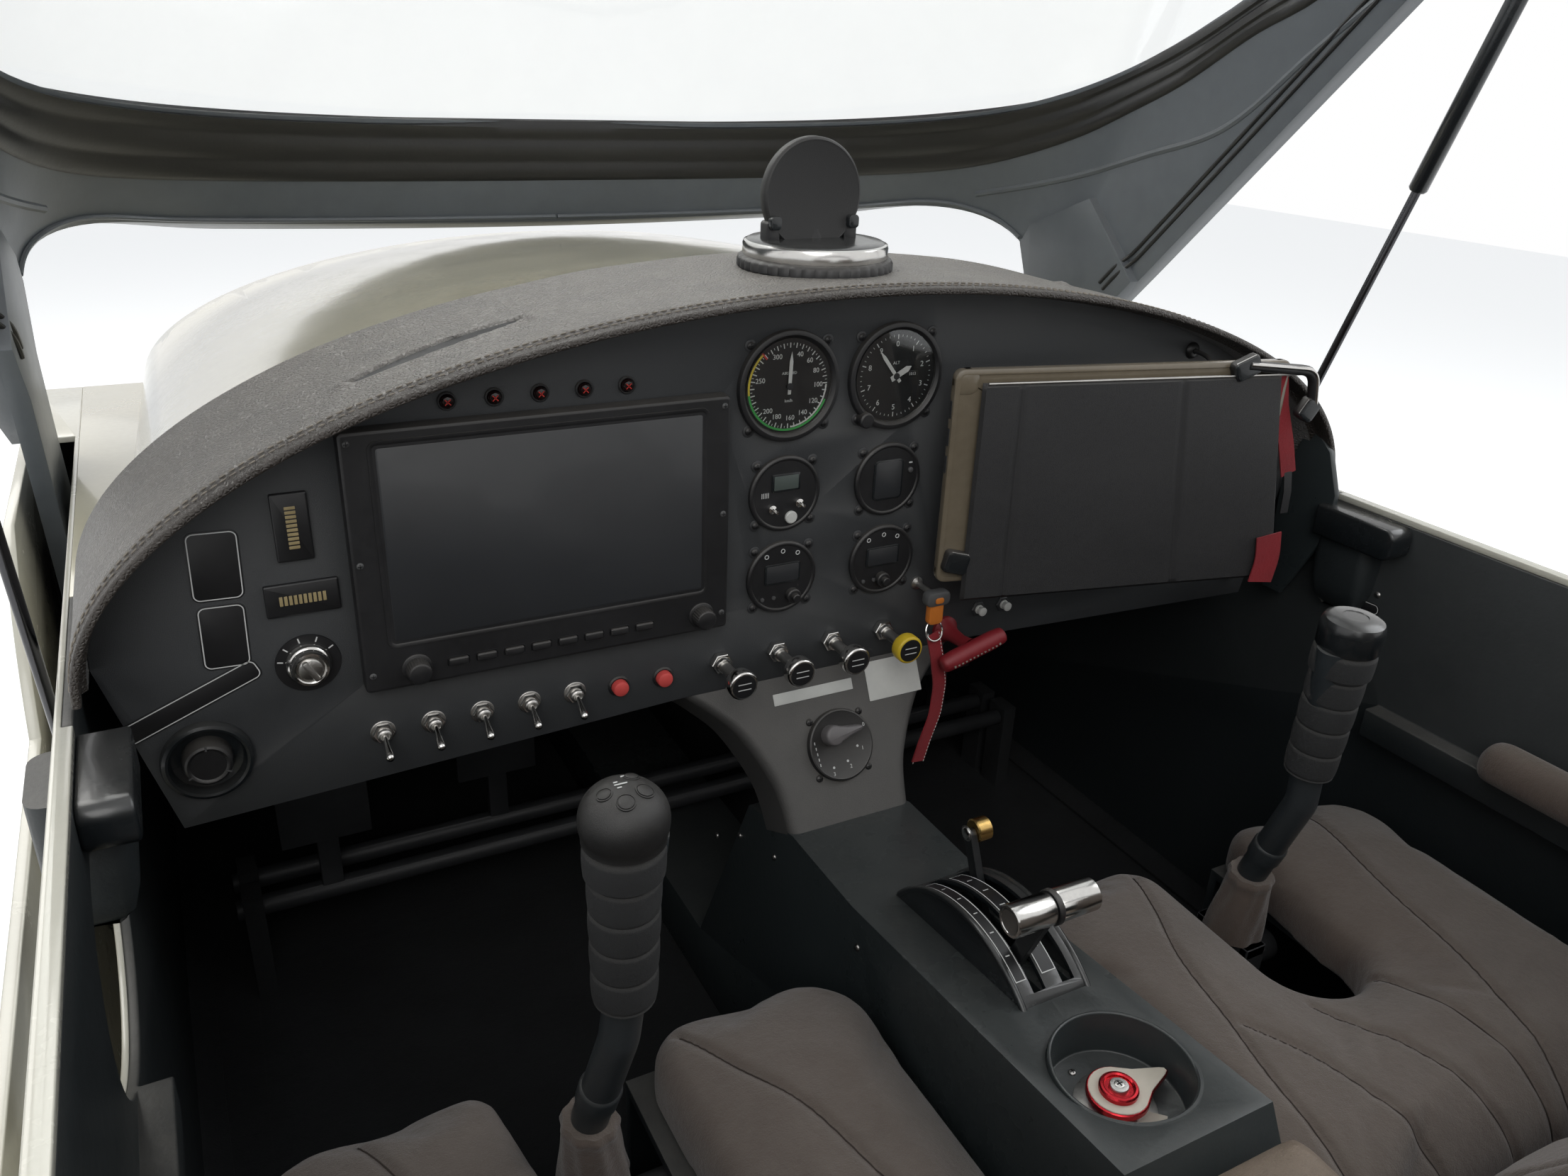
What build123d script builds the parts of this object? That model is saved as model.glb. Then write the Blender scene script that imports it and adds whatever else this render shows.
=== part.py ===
from build123d import *
import os
from math import cos, sin, tan, radians, hypot, pi

os.makedirs("parts", exist_ok=True)

# Cockpit section of a light two-seat aircraft, in millimetres.
# Shapes are drawn in the pilot's frame: x to the right, y forwards from the panel's face, z up from the
# centre of the airspeed indicator, with x = 0 on the centreline. save() moves them to the row's frame.
datum_z = 680          # the airspeed indicator's centre above the underside of the floor

# tub
tub_half = 580         # half the outside width
tub_wall = 8
tub_rear = -880
tub_front = 740
panel_y = -(tub_rear + tub_front) / 2    # the panel's face, forward of the middle of the section
belly_z = -datum_z
belly_radius = 120
sill_z = -140          # top of the side walls
sill_thick = 6
wall_deep = 55         # from the outside of the skin to the cabin
cabin_half = tub_half - wall_deep
liner_thick = 6
coaming_thick = 4      # inner wall of the skin, behind the liner
side_notch_z = -262    # the skin's top beside the canopy
side_notch_r = 326     # in front the notch ends on this arc about the canopy's hinge
bay_front = 535        # the gap between coaming and skin is open above, as far forward as this
floor_thick = 12
floor_top = belly_z + tub_wall + floor_thick
bulkhead_thick = 12
ledge_z = -322
ledge_deep = 18
ledge_high = 28
ledge_rear = -800
ledge_front = -150
pocket_y = -90
pocket_z = -262
pocket_long = 110
pocket_high = 75

# glareshield and deck
shield_lip_y = -56
shield_front_y = 133
shield_foot_z = -135
shield_rise = 210
shield_thick = 8
lip_thick = 10
lip_deep = 18
slot_x = 290
slot_y = 26
slot_turn = 23
slot_long = 100
slot_width = 11
deck_half_rear = cabin_half - 27
deck_half_front = cabin_half - 55
deck_rise_rear = 202
deck_rise_front = 150
deck_thick = 6

# instrument panel
panel_thick = 4
panel_gap = 0.5
panel_bottom_mid = -243
panel_bottom_side = -260
panel_shoulder = cabin_half - 41
column_x = 46
row_two_z = -83
row_three_z = -152
large_bezel_r = 41.5
small_bezel_r = 30
bezel_deep = 5
case_deep = 70
case_gap = 0.5

# canopy, drawn closed and then opened about its hinge
canopy_open = 47
hinge_y = 445
hinge_z = -430
hinge_pin_r = 8
canopy_half = tub_half - 2
canopy_frame_thick = 22
canopy_glass_thick = 5
canopy_foot_z = side_notch_z + 6
canopy_rear = -862
rail_high = 90
rear_band = 55
canopy_clear = 8        # between the closed canopy and the glareshield and deck
arm_x = tub_half - 35
arm_thick = 15

# gas struts, between the coaming and the skin
strut_x = tub_half - 33
strut_foot = (118, -400)
strut_eye_back = 1001.6    # along the closed rail, aft of the hinge
strut_eye_rise = 152.6     # above the hinge, square to the rail
strut_r = 8
strut_rod_r = 4
strut_pin_r = 4
strut_eye_r = 9
strut_tube_long = 286
strut_rod_long = 657
strut_end_block = 10       # solid end of the tube at its eye
stud_gap = 3.5
pin_clear = 0.4

# pedestal and console
pedestal_half_top = 124
pedestal_deep = 50
pedestal_wall = 5
flap_share = 0.51
console_half = 57
ridge_y = -59
ridge_z = -357
console_flat_end = -155
console_rear_y = -440
console_rear_z = -325
console_wall = 6
tunnel_z = -590
tunnel_rear_y = 120
throat_y = 20
throat_drop = 20
console_end_y = -640
armrest_drop = 22
armrest_high = 42

# levers
slot_reach = 62
quadrant_y = -240
quadrant_pivot_z = -416
quadrant_r = 102
quadrant_left = -20
quadrant_right = 36
throttle_x = -2
choke_x = 22
slot_wide = 10
throttle_back = 22
choke_forward = 25
throttle_long = 160
choke_long = 134

# fuel valve
valve_y = -378
cup_r = 43
cup_deep = 30
valve_knob_r = 17
valve_pointer = 36

# seats
seat_in = console_half + 7
seat_out = cabin_half - 25
seat_front_y = -152
seat_back_y = -500
seat_base_z = -446
cushion_thick = 56
well_half = 46
well_rear_y = -330
seat_lean = 32
back_long = 500
back_thick = 62
back_base_z = -380
seat_wall = 8
seat_base_rear = seat_back_y - 60
soft_gap = 0.3

# sticks
stick_x = 285
stick_pivot_y = -225
stick_pivot_z = -480
stick_r = 12
torque_r = 14
roll_pin_r = 7
grip_low_z = -262
grip_high_z = -152
head_z = -128
head_r = 24

# pedals
pedal_z = -560
left_tube_y = 300
right_tube_y = 346
pedal_tube_r = 10
pedal_high = 150
pedal_post_x = cabin_half - 70
pedal_outer_x = cabin_half - 145
pedal_inner_x = 200
stick_post_x = 160
tube_clear = 0.6
tube_hole = 8

# tablet
tablet_yaw = 12.5
tablet_mid = (246, -72, -92)
grommet_r = 4.5

# small things that hang or stand
shield_top = shield_foot_z + shield_rise
phone_at = (4, 58)
rescue_at = (118, -230)
tag_at = (84, -180)


def save(name, shape):
    export_step(Pos(0, panel_y, datum_z) * shape, f"parts/{name}.step")


def block(x0, x1, y0, y1, z0, z1):
    return Pos((x0 + x1) / 2, (y0 + y1) / 2, (z0 + z1) / 2) * Box(abs(x1 - x0), abs(y1 - y0), abs(z1 - z0))


def rod(start, end, radius):
    a, b = Vector(start), Vector(end)
    return Solid.make_cylinder(radius, (b - a).length, Plane(origin=a, z_dir=(b - a).normalized()))


def cone(start, end, radius_start, radius_end):
    a, b = Vector(start), Vector(end)
    return Solid.make_cone(radius_start, radius_end, (b - a).length, Plane(origin=a, z_dir=(b - a).normalized()))


def joined(shapes):
    total = shapes[0]
    for shape in shapes[1:]:
        total = total + shape
    return total


def across(points, y0, y1):
    # a prism from an outline in x and z
    face = Plane.XZ * make_face(Polyline(*points, close=True))
    return Pos(0, y0, 0) * extrude(face, amount=y1 - y0, dir=(0, 1, 0))


def sideways(points, x0, x1):
    # a prism from an outline in y and z
    face = Plane.YZ * make_face(Polyline(*points, close=True))
    return Pos(x0, 0, 0) * extrude(face, amount=x1 - x0, dir=(1, 0, 0))


def arch_face(half, rise, foot_z, y):
    crown = EllipticalCenterArc((0, foot_z), half, rise, arc_size=180)
    foot = Line((-half, foot_z), (half, foot_z))
    return Pos(0, y, 0) * (Plane.XZ * make_face([crown, foot]))


def arch(half, rise, foot_z, y0, y1):
    return extrude(arch_face(half, rise, foot_z, y0), amount=y1 - y0, dir=(0, 1, 0))


def mirrored(shape):
    return mirror(shape, about=Plane.YZ)


def both(shape):
    return Compound(children=[*shape.solids(), *mirrored(shape).solids()])


# the tub
def tub_block(inset, y0, y1, top):
    body = block(inset - tub_half, tub_half - inset, y0, y1, belly_z + inset, top)
    return fillet(body.edges().filter_by(Axis.Y).group_by(Axis.Z)[0], belly_radius - inset)


def fuselage_skin():
    # an outer skin with a coaming inside it, cut down beside the canopy
    inner_x, rear, front = cabin_half + liner_thick, tub_rear + bulkhead_thick, tub_front - bulkhead_thick
    skin = tub_block(0, tub_rear, tub_front, sill_z) - tub_block(tub_wall, tub_rear, tub_front, sill_z + 10)
    notch = block(tub_half - 2 * tub_wall, tub_half + 5, rear, hinge_y, side_notch_z, sill_z + 10)
    notch = notch - rod((tub_half - 30, hinge_y, hinge_z), (tub_half + 10, hinge_y, hinge_z), side_notch_r)
    skin = skin - notch - mirrored(notch)
    coaming = block(inner_x, inner_x + coaming_thick, rear, front, belly_z, sill_z) & tub_block(1, rear, front, sill_z)
    lip = block(inner_x, tub_half - tub_wall, bay_front, front, sill_z - sill_thick, sill_z)
    cap = block(cabin_half, inner_x + coaming_thick, rear, shield_lip_y, sill_z - sill_thick, sill_z)
    inner = joined([coaming, lip, cap])
    return joined([skin, inner, mirrored(inner - pocket_hole())])


def pocket_hole():
    return Pos(cabin_half, pocket_y, pocket_z) * (Rot(0, 90, 0) * extrude(Ellipse(pocket_high, pocket_long), amount=30,
                                                                          both=True))


def floor_pan():
    half = cabin_half + liner_thick
    inside = tub_block(tub_wall, tub_rear + bulkhead_thick, tub_front - bulkhead_thick, sill_z)
    pan = block(-half, half, tub_rear + bulkhead_thick, tub_front - bulkhead_thick, belly_z + tub_wall, floor_top) & inside
    posts = []
    for tube_y in (left_tube_y, right_tube_y):
        for x in (-pedal_post_x, pedal_post_x):
            posts.append(block(x - 9, x + 9, tube_y - 16, tube_y + 16, floor_top, pedal_z + 18))
    for x in (-stick_post_x, stick_post_x):
        posts.append(block(x - 9, x + 9, stick_pivot_y - 22, stick_pivot_y + 22, floor_top, stick_pivot_z + 22))
    pan = joined([pan] + posts)
    for tube_y, tube_z, tube_r in ((left_tube_y, pedal_z, pedal_tube_r), (right_tube_y, pedal_z, pedal_tube_r),
                                   (stick_pivot_y, stick_pivot_z, torque_r)):
        pan = pan - rod((-cabin_half, tube_y, tube_z), (cabin_half, tube_y, tube_z), tube_r + tube_clear)
    return pan


def end_wall(y0, y1, half, rise):
    lower = tub_block(tub_wall, y0, y1, sill_z - sill_thick)
    upper = arch(half, rise, sill_z, y0, y1)
    neck = block(-half, half, y0, y1, sill_z - sill_thick, sill_z)
    return joined([lower, neck, upper])


engine_bolt_x = 200
engine_bolt_z = 150
engine_bolt_r = 5
engine_mid_z = -300


def firewall():
    wall = end_wall(tub_front - bulkhead_thick, tub_front, deck_half_front - deck_thick - 1,
                    deck_rise_front - deck_thick - 1)
    for x in (-engine_bolt_x, engine_bolt_x):
        for z in (-engine_bolt_z, engine_bolt_z):
            wall = wall - rod((x, tub_front - 20, engine_mid_z + z), (x, tub_front + 5, engine_mid_z + z), engine_bolt_r)
    return wall


tail_bolt_x = 400
tail_bolt_z = 160
tail_mid_z = -380
hoop_wide = 62
hoop_rise = 410
hoop_foot = 40


def rear_bulkhead():
    y0, y1 = tub_rear, tub_rear + bulkhead_thick
    wall = end_wall(y0, y1, cabin_half, hoop_rise)
    wall = wall - arch(cabin_half - hoop_wide, hoop_rise - hoop_foot - hoop_wide, sill_z + hoop_foot, y0 - 5, y1 + 5)
    for x in (-tail_bolt_x, tail_bolt_x):
        for z in (-tail_bolt_z, tail_bolt_z):
            wall = wall - rod((x, y0 - 5, tail_mid_z + z), (x, y1 + 5, tail_mid_z + z), engine_bolt_r)
    return wall


def front_deck():
    rear = arch_face(deck_half_rear, deck_rise_rear, sill_z, shield_front_y)
    front = arch_face(deck_half_front, deck_rise_front, sill_z, tub_front)
    rear_in = arch_face(deck_half_rear - deck_thick, deck_rise_rear - deck_thick, sill_z, shield_front_y)
    front_in = arch_face(deck_half_front - deck_thick, deck_rise_front - deck_thick, sill_z, tub_front)
    shell = loft([rear, front]) - loft([rear_in, front_in])
    flange = block(deck_half_front - deck_thick, cabin_half + liner_thick, shield_front_y, tub_front - bulkhead_thick,
                   sill_z - sill_thick, sill_z)
    return joined([shell, flange, mirrored(flange)])


def side_liner(pocket):
    x0, x1 = cabin_half, cabin_half + liner_thick
    inside = tub_block(tub_wall, tub_rear + bulkhead_thick, tub_front - bulkhead_thick, sill_z)
    wall = block(x0, x1, tub_rear + bulkhead_thick, shield_lip_y, floor_top, sill_z - sill_thick)
    wall = wall + block(x0, x1, shield_lip_y, shield_front_y, floor_top, sill_z)
    wall = wall + block(x0, x1, shield_front_y, tub_front - bulkhead_thick, floor_top, sill_z - sill_thick)
    wall = (wall & inside) + block(x0 - ledge_deep, x0, ledge_rear, ledge_front, ledge_z - ledge_high, ledge_z)
    return wall - pocket_hole() if pocket else wall


def corner_caps():
    cap = block(cabin_half - 28, cabin_half, -140, shield_lip_y, -176, sill_z - sill_thick)
    cap = fillet(cap.edges().filter_by(Axis.X).group_by(Axis.Y)[0], 10)
    return both(cap)


# the glareshield over the panel
def arch_shell(half, rise, thick, foot_z, y0, y1):
    return arch(half, rise, foot_z, y0, y1) - arch(half - thick, rise - thick, foot_z, y0, y1)


def glareshield():
    shell = arch_shell(cabin_half, shield_rise, shield_thick, shield_foot_z, shield_lip_y, shield_front_y)
    lip = arch_shell(cabin_half, shield_rise, lip_thick, shield_foot_z, shield_lip_y, shield_lip_y + lip_deep)
    seam = arch_shell(cabin_half, shield_rise, cabin_half - deck_half_rear + deck_thick, shield_foot_z,
                      shield_front_y - 6, shield_front_y)
    slot = Pos(-slot_x, slot_y, 40) * (Rot(0, 0, -slot_turn) * Box(slot_long, slot_width, 90))
    return joined([shell, lip, seam]) - slot - mirrored(slot)


# instruments: name, x, z, bezel radius
round_instruments = [
    ("airspeed_indicator", -column_x, 0, large_bezel_r),
    ("altimeter", column_x, 0, large_bezel_r),
    ("propeller_control", -column_x, row_two_z, small_bezel_r),
    ("traffic_display", column_x, row_two_z, small_bezel_r),
    ("radio", -column_x, row_three_z, small_bezel_r),
    ("transponder", column_x, row_three_z, small_bezel_r),
]
display_box = (-362.3, -96.9, -181, 0.2)
display_deep = 12
toggle_x0, toggle_pitch, toggle_z = -353.4, 34.45, -218
button_xs, button_z = (-181.2, -145.4), -220
knob_x0, knob_pitch, knob_z = -97, 49.9, -217
breaker_xs = (152.5, 179.5)
lamp_x0, lamp_pitch, lamp_z = -292.1, 30.33, 11.3
vent_x, vent_z, vent_r = cabin_half - 62, -211.5, 28
key_x, key_z = -394.5, -155


def instrument_panel():
    half = cabin_half - shield_thick - panel_gap
    top = arch(half, shield_rise - shield_thick - panel_gap, shield_foot_z, 0, panel_thick)
    skirt = across([(-half, shield_foot_z), (-panel_shoulder, panel_bottom_side), (-pedestal_half_top, panel_bottom_mid),
                    (pedestal_half_top, panel_bottom_mid), (panel_shoulder, panel_bottom_side),
                    (half, shield_foot_z)], 0, panel_thick)
    plate = top + skirt
    for name, x, z, bezel_r in round_instruments:
        plate = plate - rod((x, -5, z), (x, 20, z), bezel_r - 3 + case_gap)
    x0, x1, z0, z1 = display_box
    plate = plate - block(x0 + 6, x1 - 6, -5, 20, z0 + 6, z1 - 6)
    for x in (-vent_x, vent_x):
        plate = plate - rod((x, -5, vent_z), (x, 20, vent_z), vent_r - 4 + case_gap)
    x, y, z = cable_route[0]
    return plate - rod((x, -5, z), (x, 20, z), grommet_r + case_gap)


def round_instrument(x, z, bezel_r):
    case_r = bezel_r - 3
    body = rod((x, 0, z), (x, case_deep, z), case_r)
    bezel = rod((x, -bezel_deep, z), (x, 0, z), bezel_r)
    dial = rod((x, -bezel_deep - 1, z), (x, -bezel_deep + 2, z), case_r - 3)
    return joined([body, bezel]) - dial


def display_unit():
    x0, x1, z0, z1 = display_box
    bezel = block(x0, x1, -display_deep, 0, z0, z1)
    bezel = chamfer(bezel.faces().sort_by(Axis.Y)[0].edges(), 2)
    case = block(x0 + 8, x1 - 8, 0, case_deep, z0 + 8, z1 - 8)
    screen = block(x0 + 20, x1 - 20, -display_deep - 1, -display_deep + 3, z0 + 34, z1 - 10)
    knobs = [rod((x, -display_deep - 12, z0 + 14), (x, -display_deep, z0 + 14), 8) for x in (x0 + 34, x1 - 22)]
    return joined([bezel, case] + knobs) - screen


def warning_lamps():
    lamps = []
    for i in range(5):
        x = lamp_x0 + i * lamp_pitch
        lamps.append(rod((x, -5, lamp_z), (x, 0, lamp_z), 5))
    return Compound(children=lamps)


def toggle_switches():
    parts = []
    for i in range(5):
        x = toggle_x0 + i * toggle_pitch
        nut = rod((x, -7, toggle_z), (x, 0, toggle_z), 7)
        lever = cone((x, -6, toggle_z), (x, -24, toggle_z - 10), 2.2, 3.2)
        parts.append(nut + lever)
    return Compound(children=[solid for part in parts for solid in part.solids()])


def panel_fittings():
    # two red buttons, two breakers and the cable's grommet
    red = [rod((x, -8, button_z), (x, 0, button_z), 6.5) for x in button_xs]
    breakers = [rod((x, -9, knob_z), (x, 0, knob_z), 5) for x in breaker_xs]
    x, y, z = cable_route[0]
    grommet = rod((x, y, z), (x, 0, z), 7) + rod((x, 0, z), (x, 12, z), grommet_r)
    return Compound(children=[*red, *breakers, *grommet.solids()])


def pull_knobs():
    parts = []
    for i in range(4):
        x = knob_x0 + i * knob_pitch
        shaft = rod((x, -34, knob_z), (x, 0, knob_z), 5)
        collar = rod((x, -10, knob_z), (x, 0, knob_z), 9)
        head = rod((x, -46, knob_z), (x, -32, knob_z), 12)
        parts.append(joined([shaft, collar, head]))
    return Compound(children=[solid for part in parts for solid in part.solids()])


def trim_indicators():
    upright = block(-404, -382, -3, 0, -82, -37)
    level = block(-415, -370, -3, 0, -119, -97)
    return Compound(children=[upright, level])


def ignition_switch():
    ring = rod((key_x, -1.5, key_z), (key_x, 0, key_z), 20.5)
    barrel = rod((key_x, -12, key_z), (key_x, 0, key_z), 12)
    key = block(key_x - 2, key_x + 2, -16, -11, key_z - 8, key_z + 8)
    return joined([ring, barrel, key])


def air_vents():
    x = vent_x
    flange = rod((x, -6, vent_z), (x, 0, vent_z), vent_r)
    duct = rod((x, 0, vent_z), (x, 40, vent_z), vent_r - 4)
    cup = rod((x, -7, vent_z), (x, -2, vent_z), vent_r - 6)
    eye = rod((x, -10, vent_z), (x, -2, vent_z), 14)
    return both(joined([flange, duct]) - cup + eye)


# the pedestal with the flap selector, and the console behind it
pedestal_widths = [(0, pedestal_half_top), (0.32, 88), (0.68, 63), (1, console_half)]    # share of the slope, half width


def pedestal_plane(share):
    middle = (0, share * ridge_y, panel_bottom_mid + share * (ridge_z - panel_bottom_mid))
    return Plane(origin=middle, x_dir=(1, 0, 0), z_dir=(0, ridge_z - panel_bottom_mid, -ridge_y))


def pedestal_prism(inset, depth):
    long = hypot(ridge_y, panel_bottom_mid - ridge_z)
    right = [(half - inset, -share * long) for share, half in pedestal_widths]
    left = [(-x, z) for x, z in reversed(right)]
    plane = pedestal_plane(0).offset(-inset)
    return extrude(plane * make_face(Polyline(*right, *left, close=True)), amount=inset - depth)


def pedestal():
    shell = pedestal_prism(0, pedestal_deep) - pedestal_prism(pedestal_wall, pedestal_deep + 5)
    return shell - console_block(-200, 200)


def flap_selector():
    plane = pedestal_plane(flap_share)
    bezel = plane * extrude(Circle(small_bezel_r), amount=bezel_deep)
    knob = plane.offset(bezel_deep) * extrude(Circle(11), amount=12)
    return bezel + knob


def console_block(x0, x1):
    front, rest_z = tub_front - bulkhead_thick, console_rear_z - armrest_drop
    return sideways([(front, floor_top), (front, tunnel_z), (tunnel_rear_y, tunnel_z), (throat_y, ridge_z - throat_drop),
                     (ridge_y, ridge_z), (console_flat_end, ridge_z), (console_rear_y, console_rear_z),
                     (console_rear_y - 12, rest_z), (console_end_y, rest_z), (console_end_y, floor_top)], x0, x1)


def console_body():
    outer = console_block(-console_half, console_half)
    front, rest_z = tub_front - bulkhead_thick, console_rear_z - armrest_drop - console_wall
    inner = sideways([(front, floor_top), (front, tunnel_z - console_wall),
                      (tunnel_rear_y - 3, tunnel_z - console_wall), (throat_y - 4, ridge_z - throat_drop - console_wall),
                      (ridge_y, ridge_z - console_wall), (console_flat_end, ridge_z - console_wall),
                      (console_rear_y, rest_z), (console_end_y + console_wall, rest_z),
                      (console_end_y + console_wall, floor_top)],
                     -console_half + console_wall, console_half - console_wall)
    shell = outer - inner
    cup = rod((0, valve_y, ridge_z - 60), (0, valve_y, console_rear_z + 40), cup_r + 3)
    shell = shell - cup
    for x in (throttle_x, choke_x):
        shell = shell - block(x - slot_wide / 2 - 1, x + slot_wide / 2 + 1, quadrant_y - slot_reach, quadrant_y + slot_reach,
                              quadrant_pivot_z, console_rear_z + 20)
    tube = rod((-100, stick_pivot_y, stick_pivot_z), (100, stick_pivot_y, stick_pivot_z), torque_r + tube_hole)
    return shell - tube


def console_slope(y):
    share = (console_flat_end - y) / (console_flat_end - console_rear_y)
    return ridge_z + max(0, share) * (console_rear_z - ridge_z)


def throttle_quadrant():
    drum = rod((quadrant_left, quadrant_y, quadrant_pivot_z), (quadrant_right, quadrant_y, quadrant_pivot_z), quadrant_r)
    hollow = rod((quadrant_left + 4, quadrant_y, quadrant_pivot_z), (quadrant_right - 4, quadrant_y, quadrant_pivot_z),
                 quadrant_r - 4)
    below = sideways([(-60, ridge_z - 200), (-60, ridge_z), (console_flat_end, ridge_z),
                      (console_rear_y, console_rear_z), (console_rear_y, ridge_z - 200)], -80, 80)
    cover = drum - hollow - below
    for x in (throttle_x, choke_x):
        cover = cover - block(x - slot_wide / 2, x + slot_wide / 2, quadrant_y - slot_reach, quadrant_y + slot_reach,
                              quadrant_pivot_z, quadrant_pivot_z + 140)
    axle = rod((-console_half + console_wall, quadrant_y, quadrant_pivot_z),
               (console_half - console_wall, quadrant_y, quadrant_pivot_z), 4)
    return Compound(children=[*cover.solids(), axle])


def lever(x, long, lean, wide):
    # stands on the axle and leans forwards by lean degrees
    blade = block(x - 3, x + 3, -wide, wide, 0, long)
    hub = rod((x - 3, 0, 0), (x + 3, 0, 0), 12)
    body = (blade + hub) - rod((x - 10, 0, 0), (x + 10, 0, 0), 4.4)
    return Pos(0, quadrant_y, quadrant_pivot_z) * (Rot(-lean, 0, 0) * body)


def lever_tip(long, lean):
    return (quadrant_y + long * sin(radians(lean)), quadrant_pivot_z + long * cos(radians(lean)))


def throttle_lever():
    y, z = lever_tip(throttle_long, -throttle_back)
    bar = rod((throttle_x - 33, y, z), (throttle_x + 33, y, z), 11)
    return lever(throttle_x, throttle_long, -throttle_back, 6) + bar


def choke_lever():
    y, z = lever_tip(choke_long, choke_forward)
    knob = rod((choke_x - 4, y, z), (choke_x + 15, y, z), 9)
    return lever(choke_x, choke_long, choke_forward, 5) + knob


def fuel_valve_base():
    top = console_slope(valve_y) - 2
    floor_z = console_slope(valve_y) - cup_deep
    cup = rod((0, valve_y, floor_z - 3), (0, valve_y, top + 4), cup_r + 2.6)
    cup = cup - rod((0, valve_y, floor_z), (0, valve_y, top + 20), cup_r)
    body = rod((0, valve_y, floor_z - 40), (0, valve_y, floor_z - 3), 22)
    neck = rod((0, valve_y, floor_z), (0, valve_y, floor_z + 6), 9)
    return joined([cup, body, neck])


def fuel_selector():
    z = console_slope(valve_y) - cup_deep + 6.3
    ring = rod((0, valve_y, z), (0, valve_y, z + 14), valve_knob_r)
    ring = fillet(ring.edges().group_by(Axis.Z)[-1], 3)
    pointer = block(0, valve_pointer, valve_y - 8, valve_y + 8, z + 1, z + 5)
    return ring + pointer


# seats
def seat_base():
    shell = block(seat_in, seat_out, seat_base_rear, seat_front_y - 6, floor_top, seat_base_z)
    shell = shell - block(seat_in + seat_wall, seat_out - seat_wall, seat_base_rear + seat_wall,
                          seat_front_y - 6 - seat_wall, floor_top, seat_base_z - seat_wall)
    rest = block(seat_in + 30, seat_out - 30, -back_thick - seat_wall, -back_thick - soft_gap, -40, back_long - 30)
    shell = shell + placed_back(rest)
    well = block(stick_x - well_half, stick_x + well_half, well_rear_y, seat_front_y + 20, floor_top, seat_base_z + 5)
    tube = rod((0, stick_pivot_y, stick_pivot_z), (tub_half, stick_pivot_y, stick_pivot_z), torque_r + tube_hole)
    return shell - well - tube


def placed_back(shape):
    return Pos(0, seat_back_y - 1, back_base_z) * (Rot(seat_lean, 0, 0) * shape)


def seat_cushion():
    z0 = seat_base_z + soft_gap
    pad = block(seat_in - 4, seat_out - 2, seat_back_y, seat_front_y, z0, z0 + cushion_thick)
    pad = fillet(pad.edges().filter_by(Axis.Z), 60)
    well = block(stick_x - well_half, stick_x + well_half, well_rear_y + well_half, seat_front_y + 20, z0 - 5, z0 + 90)
    well = well + rod((stick_x, well_rear_y + well_half, z0 - 5), (stick_x, well_rear_y + well_half, z0 + 90), well_half)
    return pad - well


def seat_back():
    slab = block(seat_in + 4, seat_out - 6, -back_thick, 0, 0, back_long)
    slab = fillet(slab.edges().filter_by(Axis.Y).group_by(Axis.Z)[-1], 90)
    return placed_back(slab)


def armrest_cushion():
    z0 = console_rear_z - armrest_drop + soft_gap
    pad = block(-console_half, console_half, console_end_y + 4, console_rear_y - 14, z0, z0 + armrest_high)
    return fillet(pad.edges().filter_by(Axis.Z), 16)


def side_bolsters():
    pad = block(cabin_half - 44, cabin_half - soft_gap, -420, -262, ledge_z + soft_gap, ledge_z + 44)
    pad = fillet(pad.edges().filter_by(Axis.Z), 18)
    return both(pad)


# controls
def torque_tube():
    tube = rod((-stick_x - 50, stick_pivot_y, stick_pivot_z), (stick_x + 50, stick_pivot_y, stick_pivot_z), torque_r)
    pins = [rod((x, stick_pivot_y - 32, stick_pivot_z), (x, stick_pivot_y + 32, stick_pivot_z), roll_pin_r)
            for x in (-stick_x, stick_x)]
    return joined([tube] + pins)


stick_route = [(285, -225, -452), (288, -229, -385), (279, -262, -292), (263, -268, grip_high_z)]


def stick():
    x0 = stick_x
    ears = []
    for y in (-24, 24):
        ear = block(x0 - 11, x0 + 11, stick_pivot_y + y - 4, stick_pivot_y + y + 4, stick_pivot_z - 11, stick_pivot_z + 34)
        ears.append(ear - rod((x0, stick_pivot_y - 60, stick_pivot_z), (x0, stick_pivot_y + 60, stick_pivot_z),
                              roll_pin_r + 0.4))
    bridge = block(x0 - 11, x0 + 11, stick_pivot_y - 28, stick_pivot_y + 28, stick_pivot_z + 24, stick_pivot_z + 34)
    path = FilletPolyline(*stick_route, radius=30)
    tube = sweep(Plane(origin=path @ 0, z_dir=path % 0) * Circle(stick_r), path=path)
    boot = cone((x0, -225, -446), (x0 + 3, -228, -388), 25, 17)
    return joined([bridge, tube, boot] + ears)


def grip_point(z):
    # on the axis of the stick's upper run
    low, high = Vector(*stick_route[2]), Vector(*stick_route[3])
    return low + (high - low) * ((z - low.Z) / (high.Z - low.Z))


def stick_grip(head):
    foot, top = grip_point(grip_low_z), grip_point(grip_high_z)
    return cone(foot, top, 19, 21.5) + head - rod(foot, grip_point(grip_high_z + 2), stick_r + 0.2)


def pilot_head():
    # the round head of the left stick; its buttons are small trim
    middle = grip_point(head_z)
    ball = Pos(middle) * Sphere(head_r) + rod(grip_point(grip_high_z), middle, 19)
    keep = block(middle.X - 60, middle.X + 60, middle.Y - 60, middle.Y + 60, grip_high_z - 6, head_z + head_r * 0.55)
    return ball & keep


def flat_cap():
    return rod(grip_point(grip_high_z), grip_point(head_z), 22.5)


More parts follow.
